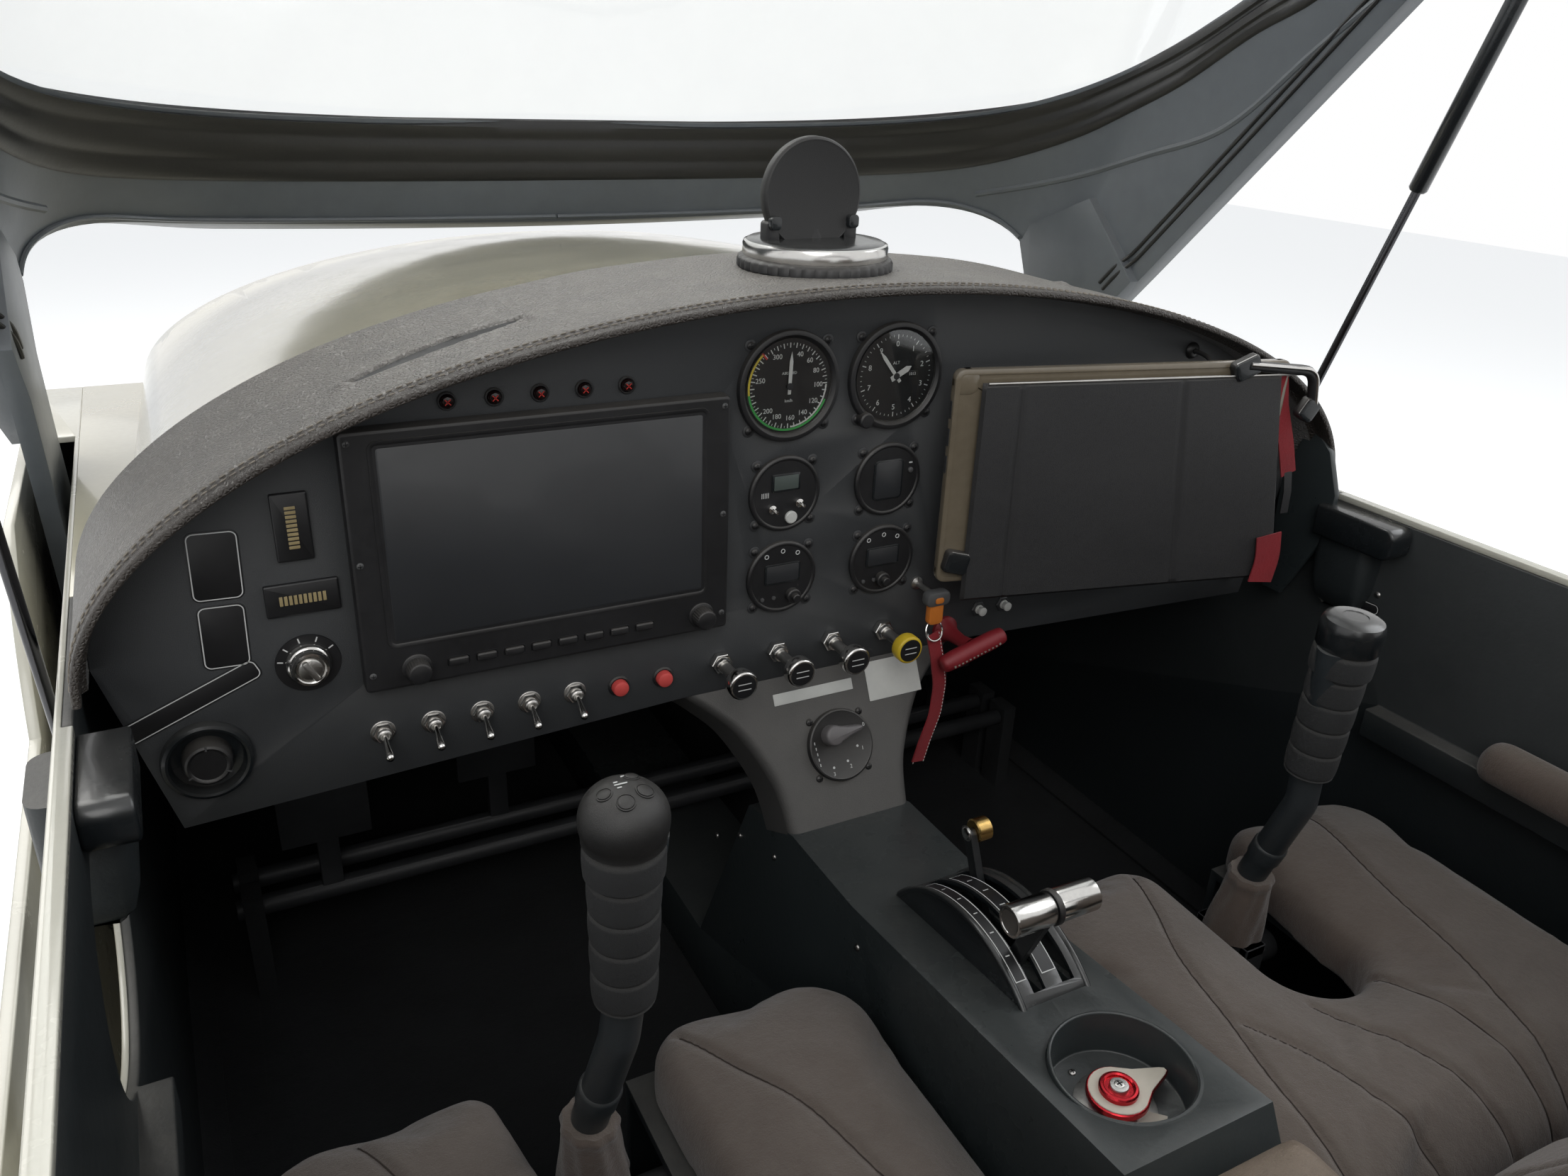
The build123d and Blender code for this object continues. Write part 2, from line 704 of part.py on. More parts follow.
def pedal(x, tube_y, tall):
    arm = block(x - 10, x + 10, tube_y - 6, tube_y + 6, pedal_z, pedal_z + 70)
    plate = block(x - 42, x + 42, tube_y - 8, tube_y, pedal_z + 62, pedal_z + tall)
    return arm + plate


def pedal_set(xs, tube_y):
    tube = rod((-pedal_post_x - 15, tube_y, pedal_z), (pedal_post_x + 15, tube_y, pedal_z), pedal_tube_r)
    return joined([tube] + [pedal(x, tube_y, pedal_high) for x in xs])


# the canopy: y, half width, straight side, corner radius and crown height above the foot of each section
canopy_sections = [
    (330, canopy_half - 134, 143, 142, 300),
    (155, canopy_half - 9, 165, 172, 420),
    (10, canopy_half, 150, 200, 505),
    (-205, canopy_half, 160, 220, 597),
    (-425, canopy_half, 168, 230, 628),
    (-645, canopy_half, 170, 228, 610),
    (canopy_rear, canopy_half - 4, 170, 220, 556),
]
# side outlines of the closed canopy: the glass's lower edge, and the frame's front edge over the deck
glass_edge = [(-420, canopy_foot_z + rail_high), (-105, -62), (200, 140)]
front_edge = [(152, -90), (170, -43), (215, 20), (299, 71)]


def rounded_arch_face(half, side, corner, rise, sunk, y):
    # upright sides, a round corner each side and one wide arc over the crown, all tangent
    middle_x = half - corner
    lift = rise - side - corner
    drop = (middle_x ** 2 - lift ** 2) / (2 * lift)
    reach = hypot(middle_x, drop)
    ux, uz = middle_x / reach, drop / reach
    join_x, join_z = middle_x + corner * ux, side + corner * uz
    bend = hypot(1 + ux, uz)
    bend_x, bend_z = middle_x + corner * (1 + ux) / bend, side + corner * uz / bend
    lines = [Line((-half, -sunk), (half, -sunk)), Line((half, -sunk), (half, side)),
             ThreePointArc((half, side), (bend_x, bend_z), (join_x, join_z)),
             ThreePointArc((join_x, join_z), (0, rise), (-join_x, join_z)),
             ThreePointArc((-join_x, join_z), (-bend_x, bend_z), (-half, side)), Line((-half, side), (-half, -sunk))]
    return Pos(0, y, canopy_foot_z) * (Plane.XZ * make_face(lines))


def canopy_body(inset):
    # an inset body runs a little past the outer one at its foot and ends
    faces = []
    for y, half, side, corner, rise in canopy_sections:
        past = inset if y in (canopy_sections[0][0], canopy_sections[-1][0]) else 0
        station = y + past if y > 0 else y - past
        faces.append(rounded_arch_face(half - inset, side, corner - inset, rise - inset, inset, station))
    return loft(faces)


def side_prism(lines):
    face = Plane.YZ * make_face(lines)
    return extrude(face, amount=2 * tub_half, both=True)


def canopy_window():
    y0, y1 = canopy_rear + rear_band, glass_edge[2][0]
    return side_prism([Line((y0, 900), (y0, glass_edge[0][1])), Line((y0, glass_edge[0][1]), glass_edge[0]),
                       ThreePointArc(*glass_edge), Line(glass_edge[2], (y1, 900)), Line((y1, 900), (y0, 900))])


def canopy_front_cut():
    y0, z0 = front_edge[0]
    y1, z1 = front_edge[-1]
    return side_prism([Line((y0, belly_z), (y0, z0)), Spline(*front_edge), Line((y1, z1), (tub_front, z1)),
                       Line((tub_front, z1), (tub_front, belly_z)), Line((tub_front, belly_z), (y0, belly_z))])


def closed_frame(outer):
    shell = outer - canopy_body(canopy_frame_thick) - canopy_window() - canopy_front_cut()
    shell = shell - block(-arm_x, arm_x, 0, tub_front, canopy_foot_z - 5, sill_z + canopy_clear)
    over_deck = [arch_face(deck_half_rear + canopy_clear, deck_rise_rear + canopy_clear, sill_z, shield_front_y),
                 arch_face(deck_half_front + canopy_clear, deck_rise_front + canopy_clear, sill_z, tub_front)]
    shell = shell - loft(over_deck)
    shell = shell - arch(cabin_half + canopy_clear, shield_rise + canopy_clear, shield_foot_z, shield_lip_y - 20,
                         shield_front_y + canopy_clear)
    y, z = hinge_y, hinge_z
    arm = sideways([(20, canopy_foot_z), (20, canopy_foot_z + 120), (120, -90), (150, -95), (175, -152), (251, -196),
                    (330, -232), (y + 22, z + 16), (y + 16, z - 18), (y - 16, z - 20), (y - 60, z + 6), (90, canopy_foot_z)],
                   arm_x, arm_x + arm_thick)
    arm = arm - rod((arm_x - 5, y, z), (arm_x + 30, y, z), hinge_pin_r + 0.5)
    lug_y, lug_z = hinge_y - strut_eye_back, hinge_z + strut_eye_rise
    lug_x = strut_x + 6 + stud_gap
    lug = block(lug_x + 2, lug_x + 12, lug_y - 12, lug_y + 12, lug_z - 10, canopy_foot_z + 12)
    lug = lug + rod((lug_x, lug_y, lug_z), (lug_x + 6, lug_y, lug_z), 5)
    return joined([shell, arm, mirrored(arm), lug, mirrored(lug)])


def opened(shape):
    # turn about the hinge line, so that the rear goes up
    turn = Rot(-canopy_open, 0, 0)
    return Pos(0, hinge_y, hinge_z) * turn * Pos(0, -hinge_y, -hinge_z) * shape


def canopy_pivots():
    # hinge pins and strut pins across the bay between coaming and skin
    x0, x1 = cabin_half + liner_thick + coaming_thick, tub_half - tub_wall
    pins = []
    for (y, z), pin_r in (((hinge_y, hinge_z), hinge_pin_r), (strut_foot, strut_pin_r)):
        boss = rod((x0, y, z), (x0 + 4, y, z), pin_r + 6)
        pins.append(rod((x0, y, z), (x1, y, z), pin_r) + boss)
    return both(Compound(children=[solid for pin in pins for solid in pin.solids()]))


def strut_eye():
    turned = radians(canopy_open)
    back, rise = strut_eye_back, strut_eye_rise
    return hinge_y - back * cos(turned) + rise * sin(turned), hinge_z + back * sin(turned) + rise * cos(turned)


def strut_parts():
    # the rod stands on its pin in the wall and slides into the tube, whose eye is at the canopy's stud
    y0, z0 = strut_foot
    y1, z1 = strut_eye()
    long = hypot(y1 - y0, z1 - z0)

    def along(distance):
        return (strut_x, y0 + (y1 - y0) * distance / long, z0 + (z1 - z0) * distance / long)

    foot = rod((strut_x - 6, y0, z0), (strut_x + 6, y0, z0), strut_eye_r)
    slider = rod(along(0), along(strut_rod_long), strut_rod_r) + foot
    slider = slider - rod((strut_x - 20, y0, z0), (strut_x + 20, y0, z0), strut_pin_r + pin_clear)
    eye = rod((strut_x - 6, y1, z1), (strut_x + 6, y1, z1), strut_eye_r)
    tube = rod(along(long - strut_tube_long), along(long), strut_r) + eye
    tube = tube - rod(along(long - strut_tube_long - 5), along(long - strut_end_block), strut_rod_r + pin_clear)
    return slider, tube


# things carried on the panel and the glareshield
def phone_mount():
    x, y = phone_at
    base = cone((x, y, shield_top - 2), (x, y, shield_top + 20), 60, 52)
    base = base - arch(cabin_half + soft_gap, shield_rise + soft_gap, shield_foot_z, shield_lip_y, shield_front_y)
    neck = rod((x, y + 6, shield_top + 16), (x - 2, y + 8, shield_top + 46), 9)
    disc = rod((x - 4, y - 2, shield_top + 51), (x - 4, y + 8, shield_top + 51), 41)
    return joined([base, neck, disc])


def tilted(shape):
    return Pos(tablet_mid) * (Rot(0, 0, -tablet_yaw) * shape)


def plate(wide, deep, high, corner, y):
    body = Box(wide, deep, high)
    return Pos(0, y, 0) * fillet(body.edges().filter_by(Axis.Y), corner)


def tablet():
    socket = Pos(90, 15.5, 40) * Box(16, 7, 12)
    return tilted(Pos(-10, 0, 6) * plate(280, 9, 186, 8, 7.5) + socket)


def tablet_cover():
    return tilted(plate(300, 6, 182, 6, 0))


def tablet_mount():
    x, y, z = tablet_mid
    back = tilted(Pos(-10, 17.5, 6) * Box(90, 11, 60))
    arm = rod((x - 4, 0, z + 6), (x - 4, y + 20, z + 6), 13)
    return back + arm


def rescue_handle():
    x, z = rescue_at
    return rod((x, 0, z), (x, -42, z), 5) + rod((x - 30, -42, z - 10), (x + 30, -44, z + 9), 8)


def safety_tag():
    x, z = tag_at
    hook = rod((x, 0, z), (x, -33, z), 2.5)
    fob = block(x - 10, x + 10, -34, -26, z - 34, z + 4)
    strap = block(x - 7, x + 7, -31, -29, z - 160, z - 34)
    return joined([hook, fob, strap])


# the charging cable, from the panel's grommet to the socket on the back of the tablet
cable_r = 2
cable_route = [(356.5, -4, -3), (356.5, -17, -3), (353, -28.5, -8), (349, -36, -20), (346, -41, -33),
               (343.2, -49, -45), (340.86, -59.95, -52), (337.98, -72.93, -52)]


def cable_radius(before, corner, after):
    a, b = Vector(corner) - Vector(before), Vector(after) - Vector(corner)
    return 0.45 * min(a.length, b.length) / tan(radians(a.get_angle(b)) / 2)


def tablet_cable():
    radii = [cable_radius(*cable_route[i - 1:i + 2]) for i in range(1, len(cable_route) - 1)]
    print("cable radii", [round(radius, 1) for radius in radii])
    path = FilletPolyline(*cable_route, radius=radii)
    tube = sweep(Plane(origin=path @ 0, z_dir=path % 0) * Circle(cable_r), path=path)
    print("cable length", round(path.length, 1), "volume over section", round(tube.volume / (pi * cable_r ** 2), 1))
    return tube


def build():
    save("fuselage_skin", fuselage_skin())
    save("floor_pan", floor_pan())
    save("firewall", firewall())
    save("rear_bulkhead", rear_bulkhead())
    save("front_deck", front_deck())
    save("side_liner_left", mirrored(side_liner(True)))
    save("side_liner_right", side_liner(False))
    save("corner_caps", corner_caps())
    save("glareshield", glareshield())
    save("instrument_panel", instrument_panel())
    for name, x, z, bezel_r in round_instruments:
        save(name, round_instrument(x, z, bezel_r))
    save("display_unit", display_unit())
    save("warning_lamps", warning_lamps())
    save("toggle_switches", toggle_switches())
    save("panel_fittings", panel_fittings())
    save("pull_knobs", pull_knobs())
    save("trim_indicators", trim_indicators())
    save("ignition_switch", ignition_switch())
    save("air_vents", air_vents())
    save("pedestal", pedestal())
    save("flap_selector", flap_selector())
    save("console_body", console_body())
    save("throttle_quadrant", throttle_quadrant())
    save("throttle_lever", throttle_lever())
    save("choke_lever", choke_lever())
    save("fuel_valve_base", fuel_valve_base())
    save("fuel_selector", fuel_selector())
    save("seat_bases", both(seat_base()))
    save("seat_cushion_right", seat_cushion())
    save("seat_cushion_left", mirrored(seat_cushion()))
    save("seat_back_right", seat_back())
    save("seat_back_left", mirrored(seat_back()))
    save("armrest_cushion", armrest_cushion())
    save("side_bolsters", side_bolsters())
    save("torque_tube", torque_tube())
    save("stick_right", stick())
    save("stick_left", mirrored(stick()))
    save("stick_grip_right", stick_grip(flat_cap()))
    save("stick_grip_left", mirrored(stick_grip(pilot_head())))
    save("left_pedals", pedal_set((-pedal_outer_x, pedal_inner_x), left_tube_y))
    save("right_pedals", pedal_set((-pedal_inner_x, pedal_outer_x), right_tube_y))
    outer = canopy_body(0)
    save("canopy_frame", opened(closed_frame(outer)))
    save("canopy_glass", opened((outer - canopy_body(canopy_glass_thick)) & canopy_window()))
    save("canopy_pivots", canopy_pivots())
    slider, tube = strut_parts()
    save("strut_rod_right", slider)
    save("strut_rod_left", mirrored(slider))
    save("strut_tubes", both(tube))
    save("phone_mount", phone_mount())
    save("tablet", tablet())
    save("tablet_cover", tablet_cover())
    save("tablet_mount", tablet_mount())
    save("rescue_handle", rescue_handle())
    save("safety_tag", safety_tag())
    save("tablet_cable", tablet_cable())


build()
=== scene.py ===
import bpy, bmesh
from functools import partial
from math import acos, cos, exp, hypot, pi, radians, sin, sqrt, tan
from mathutils import Matrix, Vector, noise
from mathutils.bvhtree import BVHTree


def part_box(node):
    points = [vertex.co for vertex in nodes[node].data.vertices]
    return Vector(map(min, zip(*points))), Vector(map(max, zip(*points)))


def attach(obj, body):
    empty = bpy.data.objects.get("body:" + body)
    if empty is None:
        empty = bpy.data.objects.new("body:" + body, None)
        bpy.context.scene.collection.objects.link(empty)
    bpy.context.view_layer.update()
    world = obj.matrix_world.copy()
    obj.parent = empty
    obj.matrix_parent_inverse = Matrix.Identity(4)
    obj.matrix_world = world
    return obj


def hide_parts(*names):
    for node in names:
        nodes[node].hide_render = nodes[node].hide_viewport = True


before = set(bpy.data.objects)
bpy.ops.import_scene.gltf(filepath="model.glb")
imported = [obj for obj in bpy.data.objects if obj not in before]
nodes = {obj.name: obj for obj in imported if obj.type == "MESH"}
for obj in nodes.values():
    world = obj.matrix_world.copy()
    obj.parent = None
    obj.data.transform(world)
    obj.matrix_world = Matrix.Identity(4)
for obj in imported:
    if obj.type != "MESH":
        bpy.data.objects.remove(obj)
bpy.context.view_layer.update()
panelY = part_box("instrument_panel")[0].y
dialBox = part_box("airspeed_indicator")
dialZ = (dialBox[0].z + dialBox[1].z) / 2


def row(p):    # cabin millimetres, as on the panel drawing, to the row frame
    return Vector((p[0] / 1000, panelY + p[1] / 1000, dialZ + p[2] / 1000))


def cabin(v):    # the row frame back to cabin millimetres
    return Vector((v.x * 1000, (v.y - panelY) * 1000, (v.z - dialZ) * 1000))


def linked(name, data):
    obj = bpy.data.objects.new(name, data)
    bpy.context.scene.collection.objects.link(obj)
    return obj


def moved(x, y, z):
    return Matrix.Translation((x, y, z))


def spun(degrees, axis="Z"):
    return Matrix.Rotation(radians(degrees), 4, axis)


def aimed(way):    # third axis along a direction
    return Vector(way).to_track_quat("Z", "Y").to_matrix().to_4x4()


def polar(r, degrees):
    return r * cos(radians(degrees)), r * sin(radians(degrees))


here = Matrix.Identity(4)    # the place of a form drawn in cabin millimetres


# camera at the pilot's shoulder, lamps, world and floor
cameraSettings = {
    "place": (-445.7, -741.9, 218.1),
    "right": (0.88595, -0.46219, 0.03835),
    "up": (0.1595, 0.3813, 0.9106),
    "ahead": (0.43549, 0.80063, -0.41152),
    "lens": 26.95,
}
lampSettings = {    # place in metres, aim, size, watts, colour
    "skyLamp": ((-0.9, 1.9, 3.0), (0.0, 0.0, 0.6), 2.6, 62, (1.0, 0.98, 0.94)),
    "sideLamp": ((2.6, -0.4, 2.4), (0.1, 0.0, 0.5), 2.0, 26, (0.94, 0.97, 1.0)),
    "rearLamp": ((-1.3, -2.6, 2.6), (0.0, 0.0, 0.4), 2.4, 34, (1.0, 0.99, 0.97)),
}
worldSettings = {"seen": (1.0, 1.0, 1.0, 1), "light": (0.83, 0.87, 0.92, 1), "strength": 0.55}
floorSettings = {"size": 14, "colour": (0.85, 0.85, 0.84, 1), "lift": 0.42}


def makeCamera():
    s = cameraSettings
    data = bpy.data.cameras.new("camera")
    data.lens, data.sensor_width, data.clip_start = s["lens"], 36, 0.01
    obj = linked("camera", data)
    axes = Matrix((s["right"], s["up"], [-v for v in s["ahead"]])).transposed()
    obj.matrix_world = Matrix.Translation(row(s["place"])) @ axes.to_4x4()
    bpy.context.scene.camera = obj


def makeLamps():
    for name, (place, aim, size, watts, colour) in lampSettings.items():
        data = bpy.data.lights.new(name, "AREA")
        data.shape, data.size, data.energy, data.color = "DISK", size, watts, colour
        obj = linked(name, data)
        turn = (Vector(aim) - Vector(place)).to_track_quat("-Z", "Y")
        obj.matrix_world = Matrix.Translation(place) @ turn.to_matrix().to_4x4()


def seenDirectly(tree):    # camera, glossy and transmission rays see the plain backdrop
    links = tree.links
    path = tree.nodes.new("ShaderNodeLightPath")
    first = tree.nodes.new("ShaderNodeMath")
    second = tree.nodes.new("ShaderNodeMath")
    for node in (first, second):
        node.operation = "MAXIMUM"
    links.new(path.outputs["Is Camera Ray"], first.inputs[0])
    links.new(path.outputs["Is Glossy Ray"], first.inputs[1])
    links.new(first.outputs[0], second.inputs[0])
    links.new(path.outputs["Is Transmission Ray"], second.inputs[1])
    return second.outputs[0]


def makeWorld():
    s = worldSettings
    world = bpy.data.worlds.new("softSky")
    bpy.context.scene.world = world
    world.use_nodes = True
    tree = world.node_tree
    light = tree.nodes["Background"]
    light.inputs["Color"].default_value = s["light"]
    light.inputs["Strength"].default_value = s["strength"]
    seen = tree.nodes.new("ShaderNodeBackground")
    seen.inputs["Color"].default_value = s["seen"]
    mix = tree.nodes.new("ShaderNodeMixShader")
    tree.links.new(seenDirectly(tree), mix.inputs[0])
    tree.links.new(light.outputs[0], mix.inputs[1])
    tree.links.new(seen.outputs[0], mix.inputs[2])
    tree.links.new(mix.outputs[0], tree.nodes["World Output"].inputs["Surface"])


def makeFloor():
    half = floorSettings["size"] / 2
    mesh = bpy.data.meshes.new("floor")
    mesh.from_pydata([(-half, -half, 0), (half, -half, 0), (half, half, 0), (-half, half, 0)], [], [(0, 1, 2, 3)])
    obj = linked("floor", mesh)
    mat = bpy.data.materials.new("paleFloor")
    mat.use_nodes = True
    shader = mat.node_tree.nodes["Principled BSDF"]
    shader.inputs["Base Color"].default_value = floorSettings["colour"]
    shader.inputs["Roughness"].default_value = 0.8
    shader.inputs["Emission Color"].default_value = (1, 1, 1, 1)
    tree = mat.node_tree
    lift = times(tree, seenDirectly(tree), floorSettings["lift"])
    tree.links.new(lift.outputs[0], shader.inputs["Emission Strength"])
    mesh.materials.append(mat)


# finishes: shared shader groups, then one table of materials
def shaderGroup(name, inputs, outputs):
    tree = bpy.data.node_groups.new(name, "ShaderNodeTree")
    for label, kind, value in inputs:
        socket = tree.interface.new_socket(label, in_out="INPUT", socket_type=kind)
        if value is not None:
            socket.default_value = value
    for label, kind in outputs:
        tree.interface.new_socket(label, in_out="OUTPUT", socket_type=kind)
    return tree, tree.nodes.new("NodeGroupInput"), tree.nodes.new("NodeGroupOutput")


def addNode(tree, kind, settings=None, **values):
    node = tree.nodes.new(kind)
    for key, value in (settings or {}).items():
        setattr(node, key, value)
    for key, value in values.items():
        socket = node.inputs[int(key[1:])] if key[0] == "i" and key[1:].isdigit() else node.inputs[key]
        if isinstance(value, bpy.types.Node):
            value = value.outputs[0]
        if isinstance(value, bpy.types.NodeSocket):
            tree.links.new(value, socket)
        else:
            socket.default_value = value
    return node


def times(tree, a, b):
    return addNode(tree, "ShaderNodeMath", {"operation": "MULTIPLY"}, i0=a, i1=b)


def ramp(tree, value, low, high, first=0.0, last=1.0):
    return addNode(tree, "ShaderNodeMapRange", i0=value, i1=low, i2=high, i3=first, i4=last)


def makeMottle():    # slow drift of tone with a finer speckle over it
    tree, inside, out = shaderGroup("mottle", [("Vector", "NodeSocketVector", None),
                                               ("Scale", "NodeSocketFloat", 20.0)], [("Value", "NodeSocketFloat")])
    broad = addNode(tree, "ShaderNodeTexNoise", Vector=inside.outputs["Vector"], Scale=inside.outputs["Scale"],
                    Detail=3.0, Roughness=0.55)
    fine = times(tree, inside.outputs["Scale"], 14.0)
    speck = addNode(tree, "ShaderNodeTexNoise", Vector=inside.outputs["Vector"], Scale=fine, Detail=2.0)
    both = addNode(tree, "ShaderNodeMix", {"data_type": "FLOAT"}, i0=0.3, i2=broad, i3=speck)
    spread = ramp(tree, both, 0.34, 0.66)
    tree.links.new(spread.outputs[0], out.inputs["Value"])
    return tree


def makeHide():    # pebbled leather: rounded cells with creases between them
    tree, inside, out = shaderGroup("hide", [("Vector", "NodeSocketVector", None), ("Scale", "NodeSocketFloat", 420.0)],
                                    [("Height", "NodeSocketFloat")])
    bend = addNode(tree, "ShaderNodeTexNoise", Vector=inside.outputs["Vector"], Scale=60.0, Detail=2.0)
    shift = addNode(tree, "ShaderNodeVectorMath", {"operation": "SCALE"}, i0=bend.outputs["Color"], Scale=0.004)
    shifted = addNode(tree, "ShaderNodeVectorMath", {"operation": "ADD"}, i0=inside.outputs["Vector"], i1=shift)
    cells = addNode(tree, "ShaderNodeTexVoronoi", {"feature": "DISTANCE_TO_EDGE"}, Vector=shifted,
                    Scale=inside.outputs["Scale"])
    dome = ramp(tree, cells.outputs["Distance"], 0.0, 0.28)
    tree.links.new(dome.outputs[0], out.inputs["Height"])
    return tree


def makePile():    # brushed suede and carpet: short uneven fibres
    tree, inside, out = shaderGroup("pile", [("Vector", "NodeSocketVector", None), ("Scale", "NodeSocketFloat", 700.0)],
                                    [("Height", "NodeSocketFloat")])
    near = addNode(tree, "ShaderNodeTexNoise", Vector=inside.outputs["Vector"], Scale=inside.outputs["Scale"],
                   Detail=4.0, Roughness=0.7)
    wide = times(tree, inside.outputs["Scale"], 0.22)
    far = addNode(tree, "ShaderNodeTexNoise", Vector=inside.outputs["Vector"], Scale=wide, Detail=2.0)
    both = addNode(tree, "ShaderNodeMath", {"operation": "ADD"}, i0=near, i1=far)
    tree.links.new(both.outputs[0], out.inputs["Height"])
    return tree


def makeDust():    # dust that settles on what faces up
    tree, inside, out = shaderGroup("dust", [("Vector", "NodeSocketVector", None), ("Color", "NodeSocketColor", None),
                                             ("Dust", "NodeSocketColor", (0.35, 0.32, 0.28, 1)),
                                             ("Amount", "NodeSocketFloat", 0.2)], [("Color", "NodeSocketColor")])
    facing = addNode(tree, "ShaderNodeSeparateXYZ", i0=addNode(tree, "ShaderNodeNewGeometry").outputs["Normal"])
    upward = ramp(tree, facing.outputs["Z"], 0.0, 1.0)
    drift = addNode(tree, "ShaderNodeTexNoise", Vector=inside.outputs["Vector"], Scale=34.0, Detail=5.0, Roughness=0.7)
    patch = ramp(tree, drift, 0.34, 0.7, 0.62)
    share = times(tree, upward, patch)
    much = times(tree, share, inside.outputs["Amount"])
    mix = addNode(tree, "ShaderNodeMix", {"data_type": "RGBA"}, i0=much, i6=inside.outputs["Color"],
                  i7=inside.outputs["Dust"])
    tree.links.new(mix.outputs[2], out.inputs["Color"])
    return tree


shared = {"mottle": makeMottle(), "hide": makeHide(), "pile": makePile(), "dust": makeDust()}


def useGroup(tree, name, **values):
    return addNode(tree, "ShaderNodeGroup", {"node_tree": shared[name]}, **values)


def finish(name, colour, rough=0.5, metal=0.0, coat=0.0, vary=0.16, patch=14.0, swing=0.1, grain="mottle",
           grainScale=700.0, depth=0.00006, dust=0.0, sheen=0.0, clear=0.0, alpha=1.0, glow=0.0):
    mat = bpy.data.materials.new(name)
    mat.use_nodes = True
    tree = mat.node_tree
    shader = tree.nodes["Principled BSDF"]
    where = addNode(tree, "ShaderNodeTexCoord").outputs["Object"]
    tone = useGroup(tree, "mottle", Vector=where, Scale=patch).outputs["Value"]
    dark = [c * (1 - vary) for c in colour]
    pale = [min(1.0, c * (1 + vary)) for c in colour]
    paint = addNode(tree, "ShaderNodeMix", {"data_type": "RGBA"}, i0=tone, i6=(*dark, 1), i7=(*pale, 1)).outputs[2]
    if dust:
        paint = useGroup(tree, "dust", Vector=where, Color=paint, Amount=dust).outputs["Color"]
    tree.links.new(paint, shader.inputs["Base Color"])
    gloss = ramp(tree, tone, 0.0, 1.0, max(0.02, rough - swing / 2), min(1.0, rough + swing / 2))
    tree.links.new(gloss.outputs[0], shader.inputs["Roughness"])
    if depth:
        height = useGroup(tree, grain, Vector=where, Scale=grainScale).outputs[0]
        bump = addNode(tree, "ShaderNodeBump", Height=height, Distance=depth, Strength=1.0)
        tree.links.new(bump.outputs[0], shader.inputs["Normal"])
    for label, value in (("Metallic", metal), ("Coat Weight", coat), ("Sheen Weight", sheen),
                         ("Transmission Weight", clear), ("Alpha", alpha)):
        shader.inputs[label].default_value = value
    shader.inputs["Coat Roughness"].default_value = 0.08
    shader.inputs["Sheen Roughness"].default_value = 0.45
    if clear:
        shader.inputs["IOR"].default_value = 1.49
    if glow:
        shader.inputs["Emission Color"].default_value = (*colour, 1)
        shader.inputs["Emission Strength"].default_value = glow
    return mat


bpy.context.scene.view_settings.view_transform = "Standard"
makeCamera()
makeLamps()
makeWorld()
makeFloor()
print("stage: camera, lamps and floor")


